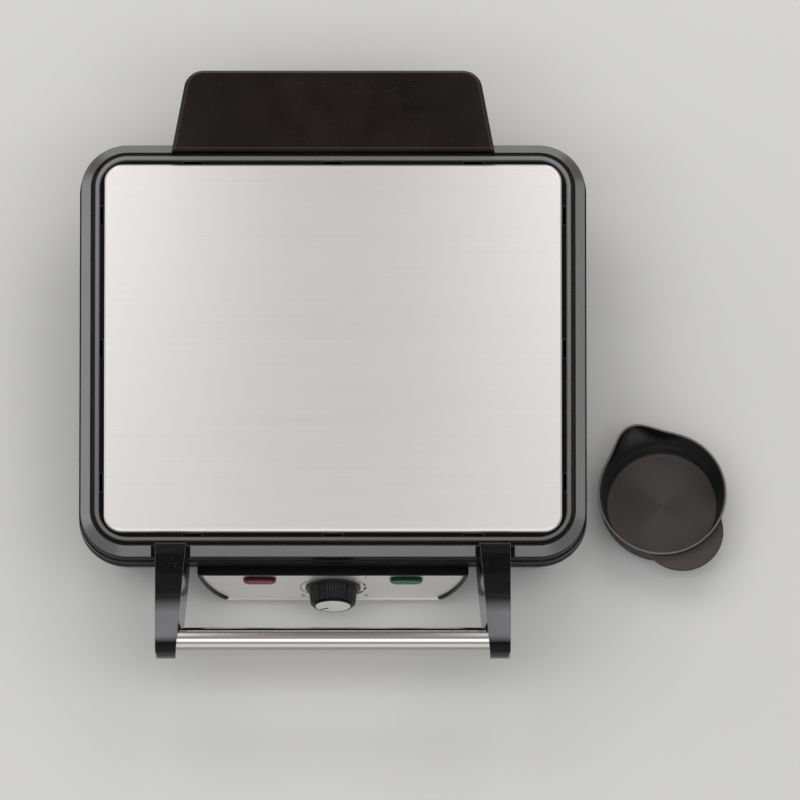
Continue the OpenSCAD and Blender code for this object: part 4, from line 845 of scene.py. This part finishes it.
class GRILL_OT_print_dial(bpy.types.Operator):
    """Prints the scale and its plain digits around the knob"""

    bl_idname = "grill.print_dial"
    bl_label = "Print dial"

    def execute(self, context):
        dial = context.scene.grill_dial
        ink = finish(
            "dial_ink", "skin", context.scene.grill_finish.ink, {"Specular IOR Level": 0.05},
            skin(0.1, 0.15, 0.45, 0.6),
        )
        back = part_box("control_plate")[0].y
        front = back - dial.ink_t
        x, _, z = middle("knob")
        swell = dial.thick_line - dial.thin_line
        scale = [
            printed_line(arc((x, z), dial.scale_r, start, end), dial.thin_line + swell * share, front, back)
            for start, end, share in SCALE_MARKS
        ]
        digits = [
            digit_mesh(text, dial.digit_h, (x + right, z + up), front, dial.ink_t)
            for text, right, up in DIGIT_SPOTS
        ]
        for name, parts in (("dial_scale", scale), ("dial_digits", digits)):
            make_piece(name, *merged(parts), ink, "base", "black_plastic", smooth=False)
        return {"FINISHED"}


class GRILL_OT_add_pointer(bpy.types.Operator):
    """Prints the pointer on the knob's metal cap"""

    bl_idname = "grill.add_pointer"
    bl_label = "Add pointer"

    def execute(self, context):
        dial = context.scene.grill_dial
        x, _, z = middle("knob_cap")
        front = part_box("knob_cap")[0].y
        path = np.array((x, z)) + np.linspace(*POINTER_ENDS, 8)
        line = printed_line(path, dial.pointer_w, front - dial.ink_t, front)
        ink = bpy.data.materials["dial_ink"]
        make_piece("knob_pointer", *line, ink, "knob", "black_plastic", smooth=False)
        return {"FINISHED"}


class GRILL_OT_add_cup(bpy.types.Operator):
    """Builds the drip cup with its smoothly drawn pouring lip and thumb tab"""

    bl_idname = "grill.add_cup"
    bl_label = "Add drip cup"

    def execute(self, context):
        cup = context.scene.grill_cup
        centre = (cup.centre_x, cup.centre_y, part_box("drip_cup")[0].z)
        plastic = self.plastic(cup, context.scene.grill_finish, centre)
        bowl = make_piece("cup_bowl", *self.bowl(cup, centre), plastic, "cup", "cup_plastic")
        make_piece("cup_tab", *self.tab(cup, centre), plastic, "cup", "cup_plastic")
        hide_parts("drip_cup")
        return {"FINISHED"}

    def plastic(self, cup, look, centre):
        """Satin plastic whose floor has the fine rings and the radial sheen of a turned mould, with painted
        shade on its steep walls and a painted highlight along its rim.
        """
        made = finish(
            "cup_plastic", "skin", look.cup, {"Specular IOR Level": 0.55, "Anisotropic": 1.0},
            skin(0.2, 0.2, 0.34, 0.4), depth=0.004 * MM,
        )
        tree = made.node_tree
        surface = shader_of(tree)
        mapping = put(tree, "ShaderNodeMapping", vector_type="TEXTURE", Location=centre)
        join(tree, coordinates(tree), mapping.inputs["Vector"])
        from_axis = mapping.outputs["Vector"]
        join(tree, worked_vector(tree, "MULTIPLY", from_axis, (1, 1, 0)), surface.inputs["Tangent"])
        rings = put(
            tree, "ShaderNodeTexWave", wave_type="RINGS", rings_direction="Z", wave_profile="SIN",
            Scale=260.0, Distortion=0.6,
        )
        join(tree, from_axis, rings.inputs["Vector"])
        ringed = put(tree, "ShaderNodeBump", Strength=1.0, Distance=0.022 * MM)
        join(tree, rings.outputs["Fac"], ringed.inputs["Height"])
        join(tree, surface.inputs["Normal"].links[0].from_socket, ringed.inputs["Normal"])
        join(tree, ringed.outputs["Normal"], surface.inputs["Normal"])
        # Painted shade: steep faces darken to the wall colour, the floor keeps the cup's colour
        steep = ramp(tree, axes(tree, "Normal")["Z"], 0.6, 0.95)
        sides = blended(tree, steep, look.cup_wall_shade, look.cup)
        # Painted highlight: the top of the rim is paled
        rim = above(tree, axes(tree)["Z"], centre[2] + cup.height - 2.5 * PAINT_BLUR)
        two_tone(made, rim, sides, look.cup_rim_highlight)
        return made

    def bowl(self, cup, centre):
        """A profile of radius and height turned about the cup's axis.

        Above the step, its radius grows by the lip's reach x a bell curve of the angle from the lip
        x a smooth rise over the lip's depth.
        """
        floor_r, wall, top, foot, edge = cup.floor_r, cup.wall, cup.height, 1.8 * MM, 0.45 * MM
        slope = (cup.rim_r - floor_r - cup.step_w) / top
        step_r, step_z = floor_r + slope * cup.step_h, cup.step_h
        ledge_r, ledge_z = step_r + cup.step_w, step_z + cup.step_w
        # Outer side from the axis to the ledge, with small roundings at the foot and the step
        outer = np.array([
            (0, 0), (floor_r * 0.5, 0), (floor_r - 3 * MM, 0), (floor_r - 1.2 * MM, 0.35 * MM),
            (floor_r - 0.3 * MM, foot * 0.6), (floor_r + 0.1 * MM, foot * 1.2),
            (step_r, step_z - 0.6 * MM), (step_r + 0.4 * MM, step_z + 0.3 * MM),
            (ledge_r, ledge_z), (ledge_r + 0.15 * MM, ledge_z + 0.8 * MM),
        ])
        rise = np.linspace(ledge_z + 2 * MM, top - edge, 12)
        spread = (cup.rim_r - ledge_r) * (rise - ledge_z) / (top - ledge_z)
        outer_wall = np.stack([ledge_r + spread, rise], axis=1)
        turn = np.radians(np.linspace(0, 180, 9))[1:-1]
        rim = np.stack([cup.rim_r - wall / 2 * (1 - np.cos(turn)), top - edge * (1 - np.sin(turn))], axis=1)
        inner_wall = outer_wall[::-1] - [wall, 0]
        inner = outer[::-1].copy()
        inner[:, 1] = np.maximum(inner[:, 1] + wall * np.where(inner[:, 1] > foot * 1.3, 0.5, 1.0), wall)
        inner[:, 0] = np.maximum(inner[:, 0] - wall * np.where(inner[:, 1] > wall * 1.05, 1.0, 0.6), 0)
        profile = np.concatenate([outer, outer_wall, rim, inner_wall, inner])
        around = np.linspace(0, 2 * np.pi, 192, endpoint=False)[:, None]
        off = np.abs((around - cup.lip_angle + np.pi) % (2 * np.pi) - np.pi)
        share = np.clip((profile[:, 1] - (top - cup.lip_depth)) / cup.lip_depth, 0, 1)
        share = share * share * (3 - 2 * share)
        radius = profile[:, 0] + cup.lip_reach * np.exp(-((off / cup.lip_spread) ** 2)) * share
        z = np.broadcast_to(profile[:, 1], radius.shape)
        points = np.stack([radius * np.cos(around), radius * np.sin(around), z], axis=2) + centre
        return points.reshape(-1, 3), grid_faces(len(around), len(profile), True, False).tolist()

    def tab(self, cup, centre):
        """A leaf of a round disc, whose edge is rounded: a line from the cup's rim to the disc's edge,
        out along the upper face and back along the lower one, is carried around the disc."""
        disc_r, out, root_r = cup.tab_r, cup.tab_out, cup.rim_r - cup.tab_root
        # Share of the way out where the edge starts to round, and half the disc's angle that the cup hides
        round_from = 0.93
        cut = math.acos((disc_r ** 2 + out ** 2 - root_r ** 2) / (2 * disc_r * out))
        around = np.linspace(cut - math.pi, math.pi - cut, 61)
        edge_x, edge_y = out + disc_r * np.cos(around), disc_r * np.sin(around)
        aim = np.arctan2(edge_y, edge_x)
        root_x, root_y = root_r * np.cos(aim), root_r * np.sin(aim)
        across = np.concatenate([np.linspace(0, 1, 9)[:-1], [round_from, 0.97, 0.99, 1.0]])
        top = cup.tab_t / 2 * np.sqrt(1 - np.clip((across - round_from) / (1 - round_from), 0, 1) ** 2)
        u = np.concatenate([across, across[-2::-1]])
        h = np.concatenate([top, -top[-2::-1]])
        x = root_x[:, None] * (1 - u) + edge_x[:, None] * u
        y = root_y[:, None] * (1 - u) + edge_y[:, None] * u
        z = np.broadcast_to(cup.height - cup.tab_drop - cup.tab_t / 2 + h, x.shape)
        c, s = math.cos(cup.tab_angle), math.sin(cup.tab_angle)
        points = np.stack([x * c - y * s, x * s + y * c, z], axis=2) + centre
        rows, columns = x.shape
        faces = grid_faces(rows, columns, False, True).tolist()
        faces += [list(range(columns)), list(range((rows - 1) * columns, rows * columns))[::-1]]
        return points.reshape(-1, 3), faces


class GRILL_OT_build_stage(bpy.types.Operator):
    """Sets the pale floor, the soft lamps, the world and the camera"""

    bl_idname = "grill.build_stage"
    bl_label = "Build stage"

    def execute(self, context):
        scene, stage = context.scene, context.scene.grill_stage
        self.add_floor(stage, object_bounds()[0].z)
        self.add_world(scene, stage)
        for name, place, target, size, radiance in (
            ("softbox_top_left", (-0.525, 0.95, 1.3), (-0.525, 0.95, 0), (0.85, 1.16), 1.29),
            ("softbox_top_right", (0.525, 0.95, 1.3), (0.525, 0.95, 0), (0.85, 1.16), 1.21),
            ("softbox_top_front", (0, -0.4, 1.25), (0, -0.4, 0), (1.8, 0.5), 1.4),
            ("softbox_left", (-1.7, 0.5, 0.6), (0, 0, 0.05), (1.6, 0.8), 0.9),
            ("softbox_right", (1.7, 0.5, 0.6), (0, 0, 0.05), (0.9, 0.8), 0.5),
            ("softbox_front", (0.1, -1.7, 1.2), (0, 0, 0.05), (1.6, 0.9), 0.5),
            ("softbox_rear", (0, 2.2, 0.35), (0, 0, 0.08), (2.4, 0.5), 1.35),
        ):
            self.add_lamp(name, place, target, size, radiance)
        self.add_camera(scene, stage)
        scene.view_settings.view_transform = "Standard"
        return {"FINISHED"}

    def add_floor(self, stage, z):
        """A large flat floor: a square grid of points at the height of the grill's feet."""
        side = np.linspace(-stage.floor_w / 2, stage.floor_w / 2, 13)
        u, v = np.meshgrid(side, side, indexing="ij")
        points = np.stack([u, v, np.full_like(u, z)], axis=2).reshape(-1, 3)
        mesh = bpy.data.meshes.new("floor")
        mesh.from_pydata(points.tolist(), [], grid_faces(13, 13).tolist())
        mesh.flip_normals()
        material = bpy.data.materials.new("pale_floor")
        material.use_nodes = True
        surface = material.node_tree.nodes["Principled BSDF"]
        surface.inputs["Base Color"].default_value = (*stage.floor, 1)
        surface.inputs["Roughness"].default_value = 0.85
        surface.inputs["Specular IOR Level"].default_value = 0.2
        mesh.materials.append(material)
        floor = bpy.data.objects.new("floor", mesh)
        bpy.context.scene.collection.objects.link(floor)
        floor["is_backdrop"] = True

    def add_world(self, scene, stage):
        """An even grey world, darker and warmer high up behind the grill, and darkest low behind it."""
        world = bpy.data.worlds.new("studio")
        world.use_nodes = True
        scene.world = world
        tree = world.node_tree
        split = axes(tree, "Generated")
        overhead = times(tree, ramp(tree, split["Z"], *WORLD_UP), ramp(tree, split["Y"], *WORLD_BACK))
        sky = blended(tree, overhead, stage.world, stage.overhead)
        rear = ramp(tree, split["Y"], *WORLD_REAR)
        join(tree, blended(tree, rear, sky, stage.rear), tree.nodes["Background"].inputs["Color"])

    def add_lamp(self, name, place, target, size, radiance):
        """A soft rectangular lamp that faces a point; its power is radiance x pi x width x height."""
        lamp = bpy.data.lights.new(name, "AREA")
        lamp.shape, lamp.size, lamp.size_y = "RECTANGLE", size[0], size[1]
        lamp.energy = radiance * math.pi * size[0] * size[1]
        holder = bpy.data.objects.new(name, lamp)
        holder.visible_camera = False
        holder.location = place
        holder.rotation_euler = (Vector(target) - Vector(place)).to_track_quat("-Z", "Y").to_euler()
        bpy.context.scene.collection.objects.link(holder)

    def add_camera(self, scene, stage):
        """A long lens at the photograph's steep angle, so far away that the view is nearly parallel."""
        camera = bpy.data.cameras.new("camera")
        camera.type, camera.lens, camera.sensor_width = "PERSP", stage.lens, stage.sensor
        camera.clip_start, camera.clip_end = 1.0, 60.0
        distance = stage.frame_w * camera.lens / camera.sensor_width
        back = Vector((0, -math.cos(stage.elevation), math.sin(stage.elevation)))
        holder = bpy.data.objects.new("camera", camera)
        holder.location = Vector(stage.aim) + back * distance
        holder.rotation_euler = (-back).to_track_quat("-Z", "Y").to_euler()
        bpy.context.scene.collection.objects.link(holder)
        scene.camera = holder


class GRILL_PT_looks(bpy.types.Panel):
    """Lists the steps that dress the grill."""

    bl_idname = "GRILL_PT_looks"
    bl_label = "Grill"
    bl_space_type = "VIEW_3D"
    bl_region_type = "UI"
    bl_category = "Grill"

    def draw(self, context):
        for step in STEPS:
            self.layout.operator(step.bl_idname)
        for group in SETTINGS:
            settings = getattr(context.scene, group)
            for key in settings.__annotations__:
                self.layout.prop(settings, key)


STEPS = (
    GRILL_OT_dress_mouldings,
    GRILL_OT_dress_steel,
    GRILL_OT_dress_controls,
    GRILL_OT_dress_cooking,
    GRILL_OT_dress_hardware,
    GRILL_OT_print_dial,
    GRILL_OT_add_pointer,
    GRILL_OT_add_cup,
    GRILL_OT_build_stage,
)
SETTINGS = {
    "grill_finish": GrillFinishSettings,
    "grill_lid": GrillLidSettings,
    "grill_dial": GrillDialSettings,
    "grill_cup": GrillCupSettings,
    "grill_stage": GrillStageSettings,
}


def register():
    """Registers the settings, the operators and the panel."""
    for group in SETTINGS.values():
        bpy.utils.register_class(group)
    for step in (*STEPS, GRILL_PT_looks):
        bpy.utils.register_class(step)
    for key, group in SETTINGS.items():
        setattr(bpy.types.Scene, key, PointerProperty(type=group))


def unregister():
    """Removes what register() added."""
    for key in SETTINGS:
        delattr(bpy.types.Scene, key)
    for step in (GRILL_PT_looks, *reversed(STEPS)):
        bpy.utils.unregister_class(step)
    for group in reversed(SETTINGS.values()):
        bpy.utils.unregister_class(group)


def main():
    """Builds everything in order."""
    register()
    for step in STEPS:
        area, name = step.bl_idname.split(".")
        getattr(getattr(bpy.ops, area), name)()


if __name__ == "__main__":
    main()
